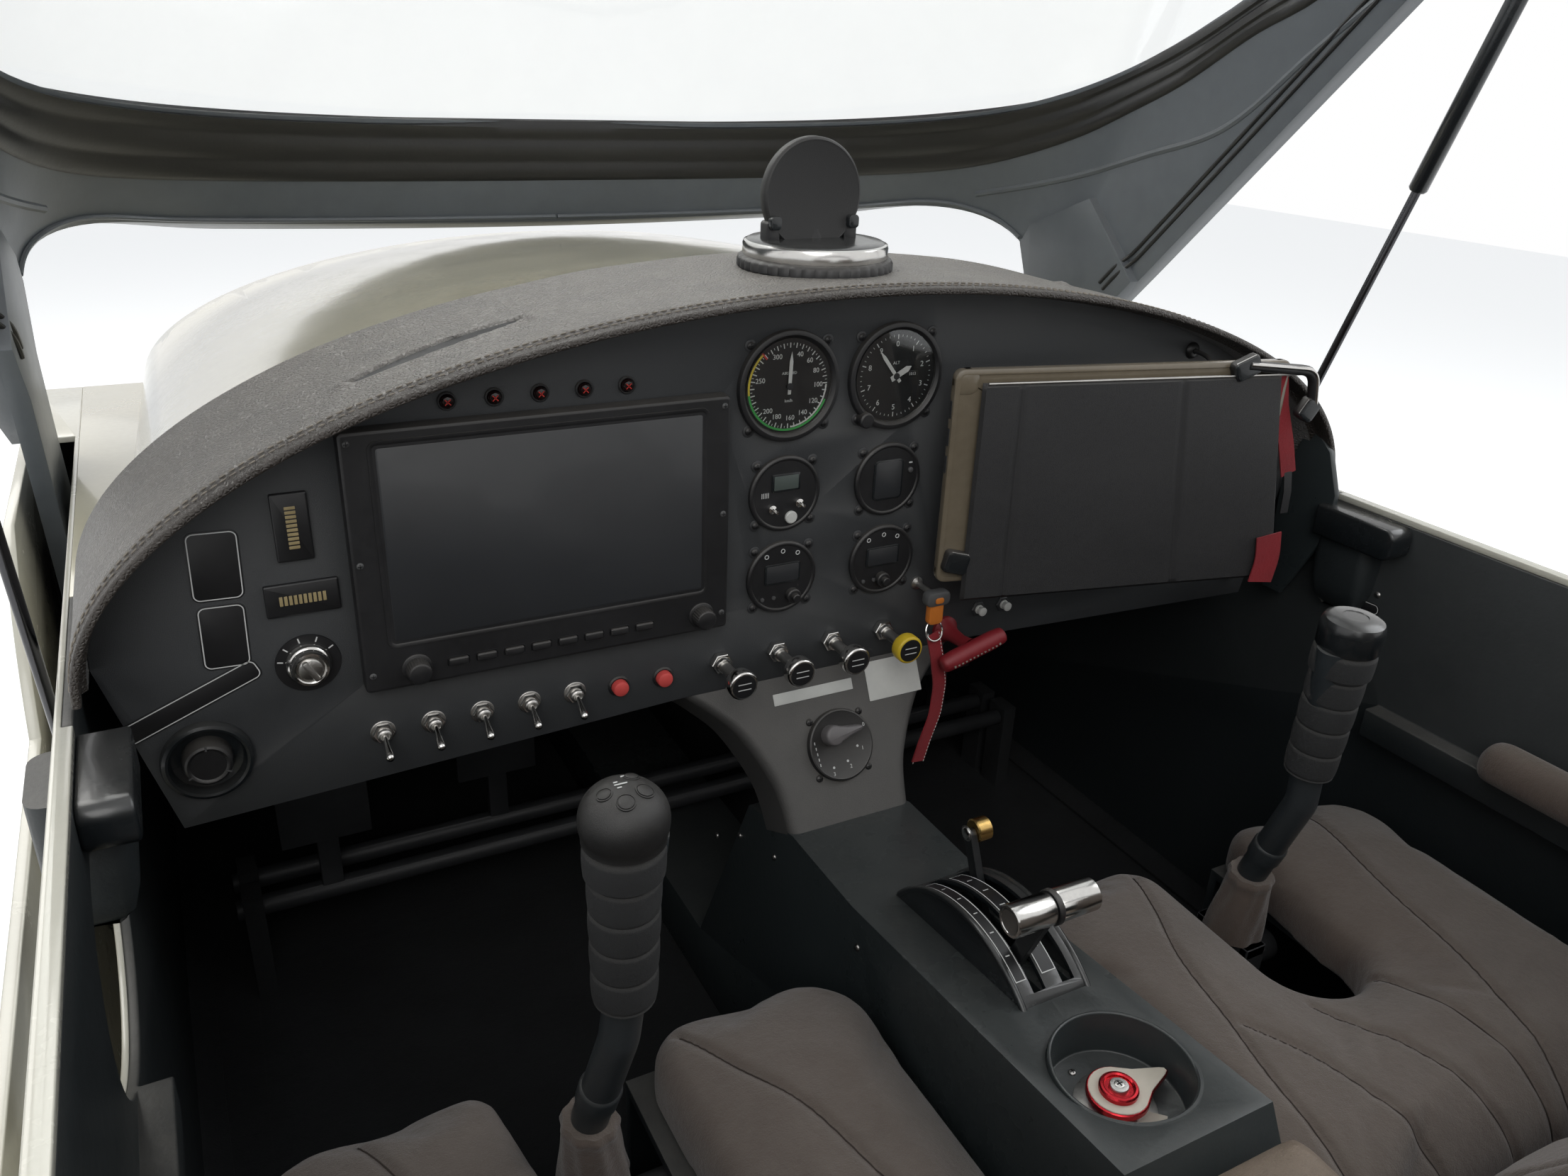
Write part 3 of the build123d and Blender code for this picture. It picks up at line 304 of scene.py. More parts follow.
finishes = {
    "creamPaint": dict(colour=(0.64, 0.6, 0.46), rough=0.16, coat=0.7, vary=0.03, depth=0.00001, dust=0.05),
    "skinPaint": dict(colour=(0.66, 0.64, 0.55), rough=0.24, coat=0.5, vary=0.03, depth=0.00001, dust=0.05),
    "oliveBand": dict(colour=(0.2, 0.19, 0.1), rough=0.35, coat=0.2, vary=0.2, depth=0.00002, dust=0.3),
    "shieldLeather": dict(colour=(0.15, 0.145, 0.14), rough=0.42, vary=0.06, patch=6.0, grain="hide", grainScale=330.0,
                          depth=0.0008, dust=0.55),
    "lipLeather": dict(colour=(0.05, 0.042, 0.036), rough=0.45, vary=0.12, patch=20.0, grain="hide", grainScale=400.0,
                       depth=0.0006, dust=0.06),
    "thread": dict(colour=(0.26, 0.23, 0.19), rough=0.8, vary=0.25, patch=60.0, grain="pile", grainScale=2500.0,
                   depth=0.0001),
    "panelCoat": dict(colour=(0.045, 0.0475, 0.05), rough=0.5, vary=0.08, patch=7.0, grainScale=1300.0, depth=0.00012,
                      dust=0.3),
    "consoleCoat": dict(colour=(0.03, 0.038, 0.04), rough=0.3, vary=0.07, patch=4.0, grainScale=240.0, depth=0.00008,
                        dust=0.1),
    "linerCoat": dict(colour=(0.024, 0.029, 0.031), rough=0.42, vary=0.12, patch=6.0, grainScale=260.0, depth=0.00012,
                      dust=0.25),
    "railCoat": dict(colour=(0.115, 0.129, 0.143), rough=0.36, vary=0.1, patch=4.0, grainScale=300.0, depth=0.00004,
                     dust=0.2),
    "sealRubber": dict(colour=(0.016, 0.016, 0.016), rough=0.38, vary=0.12, patch=9.0, grainScale=320.0, depth=0.00006),
    "capGloss": dict(colour=(0.014, 0.017, 0.019), rough=0.24, coat=0.2, vary=0.12, depth=0.00002, dust=0.1),
    "blackPlastic": dict(colour=(0.015, 0.015, 0.016), rough=0.42, vary=0.2, grainScale=1500.0, depth=0.00004,
                         dust=0.2),
    "dialBlack": dict(colour=(0.006, 0.006, 0.007), rough=0.6, vary=0.2, depth=0.00001),
    "screenGlass": dict(colour=(0.03, 0.032, 0.035), rough=0.42, coat=0.1, vary=0.06, patch=3.0, depth=0.0, dust=0.2),
    "whitePrint": dict(colour=(0.72, 0.72, 0.7), rough=0.5, vary=0.06, depth=0.0),
    "greenPrint": dict(colour=(0.05, 0.42, 0.08), rough=0.5, vary=0.06, depth=0.0),
    "yellowPrint": dict(colour=(0.75, 0.58, 0.05), rough=0.5, vary=0.06, depth=0.0),
    "redPrint": dict(colour=(0.6, 0.04, 0.03), rough=0.5, vary=0.06, depth=0.0),
    "chrome": dict(colour=(0.62, 0.61, 0.59), rough=0.16, metal=1.0, vary=0.06, patch=30.0, depth=0.00001),
    "satinMetal": dict(colour=(0.5, 0.49, 0.47), rough=0.32, metal=1.0, vary=0.1, patch=40.0, grainScale=900.0,
                       depth=0.00004),
    "darkSteel": dict(colour=(0.035, 0.036, 0.038), rough=0.5, vary=0.2, depth=0.00004),
    "goldMetal": dict(colour=(0.6, 0.4, 0.14), rough=0.24, metal=1.0, vary=0.1, depth=0.00002),
    "strutRod": dict(colour=(0.07, 0.07, 0.075), rough=0.22, metal=1.0, vary=0.1, depth=0.00001),
    "pedestalCoat": dict(colour=(0.082, 0.08, 0.077), rough=0.5, vary=0.06, patch=7.0, grainScale=900.0, depth=0.0001,
                         dust=0.25),
    "greyKnob": dict(colour=(0.15, 0.14, 0.14), rough=0.4, vary=0.1, depth=0.00002),
    "leverBlack": dict(colour=(0.012, 0.013, 0.014), rough=0.35, metal=0.0, vary=0.2, depth=0.00003),
    "stickPaint": dict(colour=(0.03, 0.036, 0.04), rough=0.36, vary=0.15, depth=0.00003, dust=0.2),
    "headPlastic": dict(colour=(0.014, 0.014, 0.014), rough=0.45, vary=0.12, grainScale=1400.0, depth=0.00006,
                        dust=0.08),
    "redAnodised": dict(colour=(0.5, 0.03, 0.04), rough=0.24, metal=1.0, vary=0.12, patch=40.0, depth=0.00001),
    "cream": dict(colour=(0.68, 0.62, 0.52), rough=0.42, vary=0.06, depth=0.00001),
    "redPlastic": dict(colour=(0.22, 0.014, 0.02), rough=0.5, vary=0.1, depth=0.00004),
    "buttonRed": dict(colour=(0.72, 0.09, 0.08), rough=0.45, vary=0.08, depth=0.00002),
    "ribbonRed": dict(colour=(0.26, 0.012, 0.018), rough=0.8, vary=0.15, patch=40.0, grain="pile", grainScale=1800.0,
                      depth=0.0003, sheen=0.1),
    "orangePlastic": dict(colour=(0.66, 0.2, 0.03), rough=0.4, vary=0.08, depth=0.00002),
    "greyPlastic": dict(colour=(0.09, 0.09, 0.09), rough=0.5, vary=0.1, depth=0.00004),
    "yellowPlastic": dict(colour=(0.72, 0.5, 0.03), rough=0.4, vary=0.08, depth=0.00002),
    "amberBar": dict(colour=(0.42, 0.33, 0.17), rough=0.35, vary=0.15, patch=90.0, depth=0.0),
    "lampRed": dict(colour=(0.012, 0.003, 0.003), rough=0.22, coat=0.3, vary=0.2, depth=0.0),
    "greenScreen": dict(colour=(0.09, 0.11, 0.1), rough=0.3, vary=0.06, depth=0.0),
    # dark thread colour for the seat seams, also painted shade in their creases
    "seamShadeThread": dict(colour=(0.045, 0.034, 0.028), rough=0.95, vary=0.1, depth=0.0),
    "suede": dict(colour=(0.108, 0.078, 0.062), rough=0.9, vary=0.09, patch=10.0, grain="pile", grainScale=900.0,
                  depth=0.0007, sheen=0.35, dust=0.25),
    "tanLeather": dict(colour=(0.19, 0.14, 0.1), rough=0.55, vary=0.12, patch=12.0, grain="hide", grainScale=600.0,
                       depth=0.0002, dust=0.2),
    "gripFoam": dict(colour=(0.026, 0.027, 0.028), rough=0.82, vary=0.12, patch=30.0, grain="pile", grainScale=1400.0,
                     depth=0.0004, dust=0.15),
    "carpet": dict(colour=(0.016, 0.017, 0.018), rough=0.95, vary=0.3, patch=20.0, grain="pile", grainScale=500.0,
                   depth=0.0012),
    "bronzeCase": dict(colour=(0.2, 0.165, 0.115), rough=0.22, coat=0.4, vary=0.12, patch=10.0, depth=0.00002,
                       dust=0.3),
    "folio": dict(colour=(0.02, 0.02, 0.021), rough=0.5, vary=0.1, patch=6.0, grain="hide", grainScale=1500.0,
                  depth=0.00012, dust=0.12),
    "plateBlack": dict(colour=(0.012, 0.012, 0.013), rough=0.4, vary=0.1, depth=0.0),
    "plateWhite": dict(colour=(0.7, 0.7, 0.66), rough=0.45, vary=0.05, depth=0.0),
    "canopyAcrylic": dict(colour=(0.96, 0.98, 0.98), rough=0.02, vary=0.01, swing=0.0, depth=0.0, clear=1.0),
    "dialGlass": dict(colour=(0.95, 0.97, 0.97), rough=0.02, vary=0.01, swing=0.0, depth=0.0, clear=1.0),
}
paint = {name: finish(name, **settings) for name, settings in finishes.items()}
print("stage: finishes")


# mesh tools: each form is (points, faces) in millimetres, and a part is a list of (form, place, material)
def lathe(profile, steps):    # profile of (radius, height), turned about the third axis
    points, faces, rings = [], [], []
    for r, h in profile:
        if r < 1e-6:
            rings.append([len(points)] * steps)
            points.append((0.0, 0.0, h))
            continue
        ring = []
        for k in range(steps):
            a = radians(360 * k / steps)
            ring.append(len(points))
            points.append((r * cos(a), r * sin(a), h))
        rings.append(ring)
    for low, high in zip(rings, rings[1:]):
        for k in range(steps):
            n = (k + 1) % steps
            face = []
            for v in (low[k], low[n], high[n], high[k]):
                if v not in face:
                    face.append(v)
            if len(face) > 2:
                faces.append(tuple(face))
    return points, faces


def layered(outline, levels, caps=True):    # an outline drawn in by each level's inset and raised to its height
    count = len(outline)
    points, faces = [], []
    area = sum(outline[i][0] * outline[(i + 1) % count][1] - outline[(i + 1) % count][0] * outline[i][1]
               for i in range(count))
    sign = 1 if area > 0 else -1
    normals = []
    for i in range(count):
        a, b, c = (Vector(outline[j % count]) for j in (i - 1, i, i + 1))
        n1 = Vector((-(b - a).y, (b - a).x)).normalized() * sign
        n2 = Vector((-(c - b).y, (c - b).x)).normalized() * sign
        mid = n1 + n2
        normals.append(mid / max(0.3, mid.length_squared / 2))
    for inset, height in levels:
        for p, n in zip(outline, normals):
            points.append((p[0] + n.x * inset, p[1] + n.y * inset, height))
    for level in range(len(levels) - 1):
        for i in range(count):
            j = (i + 1) % count
            a, b = level * count, (level + 1) * count
            faces.append((a + i, a + j, b + j, b + i))
    if caps:
        faces.append(tuple(range(count - 1, -1, -1)))
        faces.append(tuple(range((len(levels) - 1) * count, len(levels) * count)))
    return points, faces


def roundedBox(wide, high, radius, steps=5):    # outline of a rectangle with round corners
    points = []
    for cx, cy, first in ((1, 1, 0), (-1, 1, 90), (-1, -1, 180), (1, -1, 270)):
        for k in range(steps + 1):
            u, v = polar(radius, first + 90 * k / steps)
            points.append((cx * (wide / 2 - radius) + u, cy * (high / 2 - radius) + v))
    return points


def slab(wide, high, deep, radius=2.0, edge=0.8, outline=None):    # a plate with softened top and bottom edges
    e = min(edge, deep / 2.2)
    return layered(outline or roundedBox(wide, high, radius),
                   [(e, 0), (e * 0.3, e * 0.3), (0, e), (0, deep - e), (e * 0.3, deep - e * 0.3), (e, deep)])


def pipe(path, radius, sides=12, closed=False):    # a tube along points; radius is one number or one for each point
    path = [Vector(p) for p in path]
    count = len(path)
    radii = radius if hasattr(radius, "__len__") else [radius] * count
    points, faces = [], []
    tangents = []
    for i in range(count):
        a, b = (path[i - 1], path[(i + 1) % count]) if closed else (path[max(0, i - 1)], path[min(count - 1, i + 1)])
        tangents.append((b - a).normalized())
    side = tangents[0].orthogonal().normalized()
    for i in range(count):
        side = (side - tangents[i] * side.dot(tangents[i])).normalized()
        up = tangents[i].cross(side)
        for k in range(sides):
            a = 2 * pi * k / sides
            points.append(tuple(path[i] + (side * cos(a) + up * sin(a)) * radii[i]))
    for i in range(count if closed else count - 1):
        j = (i + 1) % count
        for k in range(sides):
            n = (k + 1) % sides
            faces.append((i * sides + k, i * sides + n, j * sides + n, j * sides + k))
    if not closed:
        faces.append(tuple(range(sides - 1, -1, -1)))
        faces.append(tuple(range((count - 1) * sides, count * sides)))
    return points, faces


def rounded(points, radius, steps=6):    # a path with its corners rounded
    path = [Vector(points[0])]
    for a, b, c in zip(points, points[1:], points[2:]):
        a, b, c = Vector(a), Vector(b), Vector(c)
        first, last = (a - b).normalized(), (c - b).normalized()
        reach = radius * tan((pi - first.angle(last)) / 2)
        reach = min(reach, (a - b).length * 0.45, (c - b).length * 0.45)
        p, q = b + first * reach, b + last * reach
        path += [p.lerp(b, k / steps).lerp(b.lerp(q, k / steps), k / steps) for k in range(steps + 1)]
    return path + [Vector(points[-1])]


def gridForm(rows, closedColumns=False):    # rows of points joined into one skin
    points = [tuple(p) for line in rows for p in line]
    wide, faces = len(rows[0]), []
    for i in range(len(rows) - 1):
        for k in range(wide if closedColumns else wide - 1):
            n = (k + 1) % wide
            faces.append((i * wide + k, i * wide + n, (i + 1) * wide + n, (i + 1) * wide + k))
    return points, faces


def capped(form, wide):    # the first and last row closed with a face each
    points, faces = form
    last = len(points) - wide
    return points, faces + [tuple(range(wide)), tuple(range(len(points) - 1, last - 1, -1))]


def ribbon(path, wide, thick, across):    # a flat strap along a path; across is the direction of its width
    rows = []
    side = Vector(across).normalized()
    for i, p in enumerate(path):
        a, b = path[max(0, i - 1)], path[min(len(path) - 1, i + 1)]
        way = (Vector(b) - Vector(a)).normalized()
        flat = (side - way * side.dot(way)).normalized()
        up = way.cross(flat)
        half = wide / 2
        rows.append([Vector(p) + flat * u + up * v for u, v in ((-half, -thick / 2), (half, -thick / 2),
                                                                (half, thick / 2), (-half, thick / 2))])
    return capped(gridForm(rows, closedColumns=True), 4)


def at(x, y, z, right=(1, 0, 0), up=(0, 0, 1)):    # a place whose third axis is right x up
    a = Vector(right).normalized()
    b = (Vector(up) - a * Vector(up).dot(a)).normalized()
    c = a.cross(b)
    return moved(x, y, z) @ Matrix((a, b, c)).transposed().to_4x4()


def onPanel(x, z, y=0.0, turn=0.0):    # drawn on the panel's face, third axis towards the pilot
    a = radians(turn)
    return at(x, y, z, (cos(a), 0, sin(a)), (-sin(a), 0, cos(a)))


def keepMesh(name, mesh, body, angle=38):
    mesh.shade_smooth()
    mesh.set_sharp_from_angle(angle=radians(angle))
    obj = linked(name, mesh)
    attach(obj, body)
    return obj


def build(name, forms, stands=(), body="airframe", angle=38):
    work = bmesh.new()
    order = []
    for (points, faces), place, material in forms:
        if material not in order:
            order.append(material)
        made = [work.verts.new(row(place @ Vector(p))) for p in points]
        shell = []
        for face in faces:
            try:
                shell.append(work.faces.new([made[i] for i in face]))
            except ValueError:
                continue
        for face in shell:
            face.material_index = order.index(material)
        bmesh.ops.recalc_face_normals(work, faces=shell)
    mesh = bpy.data.meshes.new(name)
    work.to_mesh(mesh)
    work.free()
    for material in order:
        mesh.materials.append(paint[material])
    obj = keepMesh(name, mesh, body, angle)
    if stands:
        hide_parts(*stands)
    return obj


def evaluated(obj):    # the object's mesh with its modifiers applied, and the modifiers gone
    bpy.context.view_layer.update()
    graph = bpy.context.evaluated_depsgraph_get()
    mesh = bpy.data.meshes.new_from_object(obj.evaluated_get(graph), depsgraph=graph)
    obj.modifiers.clear()
    obj.data = mesh
    return mesh


def cleanCopy(node):    # the CAD solid's skin, merged, with its flats dissolved
    work = bmesh.new()
    work.from_mesh(nodes[node].data)
    bmesh.ops.remove_doubles(work, verts=work.verts, dist=0.00002)
    bmesh.ops.dissolve_limit(work, angle_limit=radians(0.6), verts=work.verts, edges=work.edges)
    mesh = bpy.data.meshes.new(node)
    work.to_mesh(mesh)
    work.free()
    return mesh


mouldSettings = {"segments": 2, "angle": 32, "smooth": 40}


def softened(node, material, width, body):
    mesh = cleanCopy(node)
    obj = linked(node + "Skin", mesh)
    if width:
        bevel = obj.modifiers.new("edges", "BEVEL")
        bevel.width, bevel.segments = width / 1000, mouldSettings["segments"]
        bevel.limit_method, bevel.angle_limit = "ANGLE", radians(mouldSettings["angle"])
        bevel.use_clamp_overlap = True
        bevel.miter_outer = "MITER_ARC"
        mesh = evaluated(obj)
    mesh.materials.clear()
    mesh.materials.append(paint[material])
    mesh.shade_smooth()
    mesh.set_sharp_from_angle(angle=radians(mouldSettings["smooth"]))
    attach(obj, body)
    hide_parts(node)


# small things that repeat: one tree that sets a turned form on points, one that lays stitches along a curve
def newTree(name, sockets):
    tree = bpy.data.node_groups.new(name, "GeometryNodeTree")
    found = {}
    for label, kind, value in sockets:
        socket = tree.interface.new_socket(label, in_out="INPUT", socket_type=kind)
        if value is not None:
            socket.default_value = value
        found[label] = socket.identifier
    tree.interface.new_socket("Geometry", in_out="OUTPUT", socket_type="NodeSocketGeometry")
    return tree, tree.nodes.new("NodeGroupInput"), tree.nodes.new("NodeGroupOutput"), found


def setOn(tree, points, form, way):    # the form on each point, turned along its direction
    add = partial(addNode, tree)
    turn = add("FunctionNodeAlignRotationToVector", {"axis": "Z"}, Vector=way)
    put = add("GeometryNodeInstanceOnPoints", Points=points, Instance=form, Rotation=turn)
    return add("GeometryNodeSetShadeSmooth", Geometry=add("GeometryNodeRealizeInstances", Geometry=put))


def makeFastenerTree():    # domed heads with a cross slot drawn in black as painted shade, facing along each point's normal
    tree, inside, out, found = newTree("fastenerHeads", [("Geometry", "NodeSocketGeometry", None),
                                                         ("Radius", "NodeSocketFloat", 0.003),
                                                         ("Height", "NodeSocketFloat", 0.0012),
                                                         ("Slot", "NodeSocketFloat", 0.0),
                                                         ("Material", "NodeSocketMaterial", None)])
    add = partial(addNode, tree)
    dome = add("GeometryNodeMeshUVSphere", Segments=14, Rings=8, Radius=1.0)
    tall = add("ShaderNodeCombineXYZ", X=inside.outputs["Radius"], Y=inside.outputs["Radius"],
               Z=inside.outputs["Height"])
    flat = add("GeometryNodeTransform", Geometry=dome, Scale=tall)
    bar = add("GeometryNodeMeshCube", Size=(1.2, 0.22, 0.5))
    other = add("GeometryNodeTransform", Geometry=bar, Rotation=(0, 0, pi / 2))
    cross = add("GeometryNodeJoinGeometry")
    tree.links.new(bar.outputs[0], cross.inputs[0])
    tree.links.new(other.outputs[0], cross.inputs[0])
    sized = add("GeometryNodeTransform", Geometry=cross, Scale=tall)
    lift = times(tree, inside.outputs["Height"], 0.86)
    raised = add("GeometryNodeTransform", Geometry=sized,
                 Translation=add("ShaderNodeCombineXYZ", Z=lift))
    # the cross slot is painted black: painted shade of the slot's recess
    dark = add("GeometryNodeSetMaterial", Geometry=raised, Material=paint["dialBlack"])
    bright = add("GeometryNodeSetMaterial", Geometry=flat, Material=inside.outputs["Material"])
    wanted = add("FunctionNodeCompare", {"data_type": "FLOAT", "operation": "GREATER_THAN"}, i0=inside.outputs["Slot"],
                 i1=0.5)
    chosen = add("GeometryNodeSwitch", {"input_type": "GEOMETRY"}, i0=wanted, i2=dark)
    head = add("GeometryNodeJoinGeometry")
    tree.links.new(bright.outputs[0], head.inputs[0])
    tree.links.new(chosen.outputs[0], head.inputs[0])
    facing = add("GeometryNodeInputNamedAttribute", {"data_type": "FLOAT_VECTOR"}, Name="facing")
    dots = add("GeometryNodeMeshToPoints", Mesh=inside.outputs["Geometry"], Radius=0.001)
    tree.links.new(setOn(tree, dots, head, facing).outputs[0], out.inputs[0])
    return tree, found


def makeStitchTree():    # short rounded threads along a curve
    tree, inside, out, found = newTree("stitchRow", [("Geometry", "NodeSocketGeometry", None),
                                                     ("Pitch", "NodeSocketFloat", 0.005),
                                                     ("Length", "NodeSocketFloat", 0.0034),
                                                     ("Thickness", "NodeSocketFloat", 0.0009),
                                                     ("Material", "NodeSocketMaterial", None)])
    add = partial(addNode, tree)
    line = add("GeometryNodeMeshToCurve", Mesh=inside.outputs["Geometry"])
    spaced = add("GeometryNodeResampleCurve", {"mode": "LENGTH"}, Curve=line, Length=inside.outputs["Pitch"])
    thread = add("GeometryNodeMeshUVSphere", Segments=6, Rings=6, Radius=0.5)
    shape = add("ShaderNodeCombineXYZ", X=inside.outputs["Thickness"], Y=inside.outputs["Thickness"],
                Z=inside.outputs["Length"])
    sized = add("GeometryNodeTransform", Geometry=thread, Scale=shape)
    way = add("GeometryNodeInputTangent")
    smooth = setOn(tree, spaced, sized, way)
    dressed = add("GeometryNodeSetMaterial", Geometry=smooth, Material=inside.outputs["Material"])
    tree.links.new(dressed.outputs[0], out.inputs[0])
    return tree, found


fastenerTree, fastenerInputs = makeFastenerTree()
stitchTree, stitchInputs = makeStitchTree()


def grown(name, mesh, tree, inputs, values, body):
    obj = linked(name, mesh)
    grower = obj.modifiers.new("grow", "NODES")
    grower.node_group = tree
    for label, value in values.items():
        grower[inputs[label]] = value
    evaluated(obj)
    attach(obj, body)
    return obj


def fasteners(name, spots, radius, height, material, body="airframe", cross=True):    # spots of (point, facing)
    mesh = bpy.data.meshes.new(name)
    mesh.from_pydata([row(p) for p, n in spots], [], [])
    facing = mesh.attributes.new("facing", "FLOAT_VECTOR", "POINT")
    for k, (p, n) in enumerate(spots):
        facing.data[k].vector = Vector(n).normalized()
    return grown(name, mesh, fastenerTree, fastenerInputs,
                 {"Radius": radius / 1000, "Height": height / 1000, "Slot": 1.0 if cross else 0.0,
                  "Material": paint[material]}, body)


def stitches(name, lines, pitch=5.0, long=3.4, thick=0.9, material="thread"):
    points, edges = [], []
    for line in lines:
        first = len(points)
        points += [row(p) for p in line]
        edges += [(first + k, first + k + 1) for k in range(len(line) - 1)]
    mesh = bpy.data.meshes.new(name)
    mesh.from_pydata(points, edges, [])
    return grown(name, mesh, stitchTree, stitchInputs,
                 {"Pitch": pitch / 1000, "Length": long / 1000, "Thickness": thick / 1000,
                  "Material": paint[material]}, "airframe")


def lettering(text, size):    # a word or number as a flat form, centred on its place
    curve = bpy.data.curves.new("lettering", "FONT")
    curve.body, curve.size, curve.align_x, curve.align_y = text, size, "CENTER", "CENTER"
    curve.extrude, curve.resolution_u = 0.1, 3
    obj = linked("lettering", curve)
    bpy.context.view_layer.update()
    mesh = bpy.data.meshes.new_from_object(obj.evaluated_get(bpy.context.evaluated_depsgraph_get()))
    form = ([tuple(v.co) for v in mesh.vertices], [tuple(p.vertices) for p in mesh.polygons])
    bpy.data.objects.remove(obj)
    return form


print("stage: tools")


# the tablet's charging cable, from the panel's grommet to the socket on the tablet's back
cableSettings = {
    "route": [(356.5, -4, -3), (356.5, -17, -3), (353, -28.5, -8), (349, -36, -20), (346, -41, -33), (343.2, -49, -45),
              (340.86, -59.95, -52), (337.98, -72.93, -52)],
    "radius": 2.0,
    "length": 0.095,
}


def makeCable():
    s = cableSettings
    curve = bpy.data.curves.new("tabletLead", "CURVE")
    curve.dimensions, curve.bevel_depth, curve.bevel_resolution, curve.use_fill_caps = "3D", s["radius"] / 1000, 4, True
    line = curve.splines.new("NURBS")
    line.points.add(len(s["route"]) - 1)
    for point, p in zip(line.points, s["route"]):
        point.co = (*row(p), 1)
    line.order_u, line.use_endpoint_u, line.resolution_u = 3, True, 16
    curve.materials.append(paint["gripFoam"])
    obj = linked("tabletLead", curve)
    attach(obj, "airframe")
    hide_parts("tablet_cable")


makeCable()
print("stage: cable")


# carpet edges and corner fairings
edgeSettings = {"x": 526, "y": (-770, 640), "floor": -657, "reach": 22, "high": 16, "thick": 3}
cornerSettings = {"x": 527, "y": -86, "low": -246, "wide": 46, "long": 60, "round": 11, "high": 92}


def makeEdgeTrim():    # carpet turned up along the walls, and the fairings under the corner caps
    s, forms = edgeSettings, []
    for side in (1, -1):
        rows = []
        for y in s["y"]:
            line = [(s["x"] - s["reach"], s["floor"] - 1), (s["x"] - s["reach"], s["floor"] + 1.5)]
            line += [(s["x"] - s["reach"] * (1 - k / 6) ** 1.6, s["floor"] + 1.5 + s["high"] * (k / 6) ** 1.6)
                     for k in range(1, 7)]
            line += [(s["x"] + s["thick"], s["floor"] + s["high"]), (s["x"] + s["thick"], s["floor"] - 1)]
            rows.append([(x * side, y, z) for x, z in line])
        forms.append((capped(gridForm(rows, closedColumns=True), len(rows[0])), here, "carpet"))
    c = cornerSettings
    fairing = layered(roundedBox(c["wide"], c["long"], c["round"]), [(16, 0), (6, 10), (1.5, 26), (0, 50),
                                                                     (0, c["high"])])
    forms += [(fairing, moved(side * c["x"], c["y"], c["low"]), "linerCoat") for side in (1, -1)]
    build("edgeTrim", forms)


makeEdgeTrim()
print("stage: edge trim")


# plain moulded and painted pieces: the CAD solids with softened edges
moulded = [    # node, finish, edge width in mm, body
    ("fuselage_skin", "skinPaint", 2.0, "airframe"), ("floor_pan", "carpet", 2.0, "airframe"),
    ("firewall", "darkSteel", 0, "airframe"), ("rear_bulkhead", "linerCoat", 1.5, "airframe"),
    ("front_deck", "creamPaint", 1.5, "airframe"), ("side_liner_left", "linerCoat", 2.5, "airframe"),
    ("side_liner_right", "linerCoat", 2.5, "airframe"), ("corner_caps", "capGloss", 2.5, "airframe"),
    ("instrument_panel", "panelCoat", 0.6, "airframe"),
    ("console_body", "consoleCoat", 3.5, "airframe"), ("seat_bases", "linerCoat", 2.0, "airframe"),
    ("torque_tube", "darkSteel", 0.8, "torque_tube"), ("left_pedals", "darkSteel", 1.0, "left_pedals"),
    ("right_pedals", "darkSteel", 1.0, "right_pedals"), ("canopy_pivots", "satinMetal", 0.6, "airframe"),
    ("throttle_quadrant", "capGloss", 1.0, "airframe"), ("fuel_valve_base", "consoleCoat", 1.2, "airframe"),
    ("canopy_frame", "railCoat", 5.0, "canopy"), ("canopy_glass", "canopyAcrylic", 0, "canopy"),
]
for node, material, width, body in moulded:
    softened(node, material, width, body)
print("stage: moulded pieces")


# canopy trim: bands and beads that lie on the frame's inner face, found by rays from the centre plane
canopySettings = {
    "hinge": (445, -430), "open": 47,
    "glassEdge": [(-800, -166), (-420, -166), (-300, -140), (-200, -106), (-105, -62), (0, -4), (100, 66), (200, 140)],
    "bandEdge": [(-800, -196), (-420, -196), (-310, -188), (-250, -160), (-146, -128), (-78, -97), (-2, -63), (124, 8),
                 (229, 84), (276, 126)],
    "bead": 2.6, "groove": 2.2, "samples": 170, "rays": 240,
    "cutEdge": [(149, -88), (166, -39), (210, 25), (292, 77)],
    "railGrooveShade": [-226, -235],
    "crease": [(-363, -236), (-283, -222), (-166, -205), (-66, -150), (20, -100), (90, -55), (160, -8)],
}


def lineThrough(points, count):    # a smooth line through side view points
    tangents = []
    for i in range(len(points)):
        a, b = points[max(0, i - 1)], points[min(len(points) - 1, i + 1)]
        tangents.append(((b[0] - a[0]) / 2, (b[1] - a[1]) / 2))
    line = []
    for k in range(count):
        s = k / (count - 1) * (len(points) - 1)
        i = min(int(s), len(points) - 2)
        t = s - i
        h = (2 * t ** 3 - 3 * t ** 2 + 1, t ** 3 - 2 * t ** 2 + t, -2 * t ** 3 + 3 * t ** 2, t ** 3 - t ** 2)
        parts = (points[i], tangents[i], points[i + 1], tangents[i + 1])
        line.append(tuple(h[0] * parts[0][c] + h[1] * parts[1][c] + h[2] * parts[2][c] + h[3] * parts[3][c]
                          for c in (0, 1)))
    return line


def swungOpen(y, z):    # from the closed canopy's side view to the open one
    (hingeY, hingeZ), a = canopySettings["hinge"], radians(canopySettings["open"])
    dy, dz = y - hingeY, z - hingeZ
    return hingeY + dy * cos(a) + dz * sin(a), hingeZ - dy * sin(a) + dz * cos(a)


canopySkin = BVHTree.FromPolygons(
    [v.co for n in ("canopy_frame", "canopy_glass") for v in nodes[n].data.vertices],
    [tuple(i + shift for i in p.vertices) for n, shift in (("canopy_frame", 0),
                                                          ("canopy_glass", len(nodes["canopy_frame"].data.vertices)))
     for p in nodes[n].data.polygons])


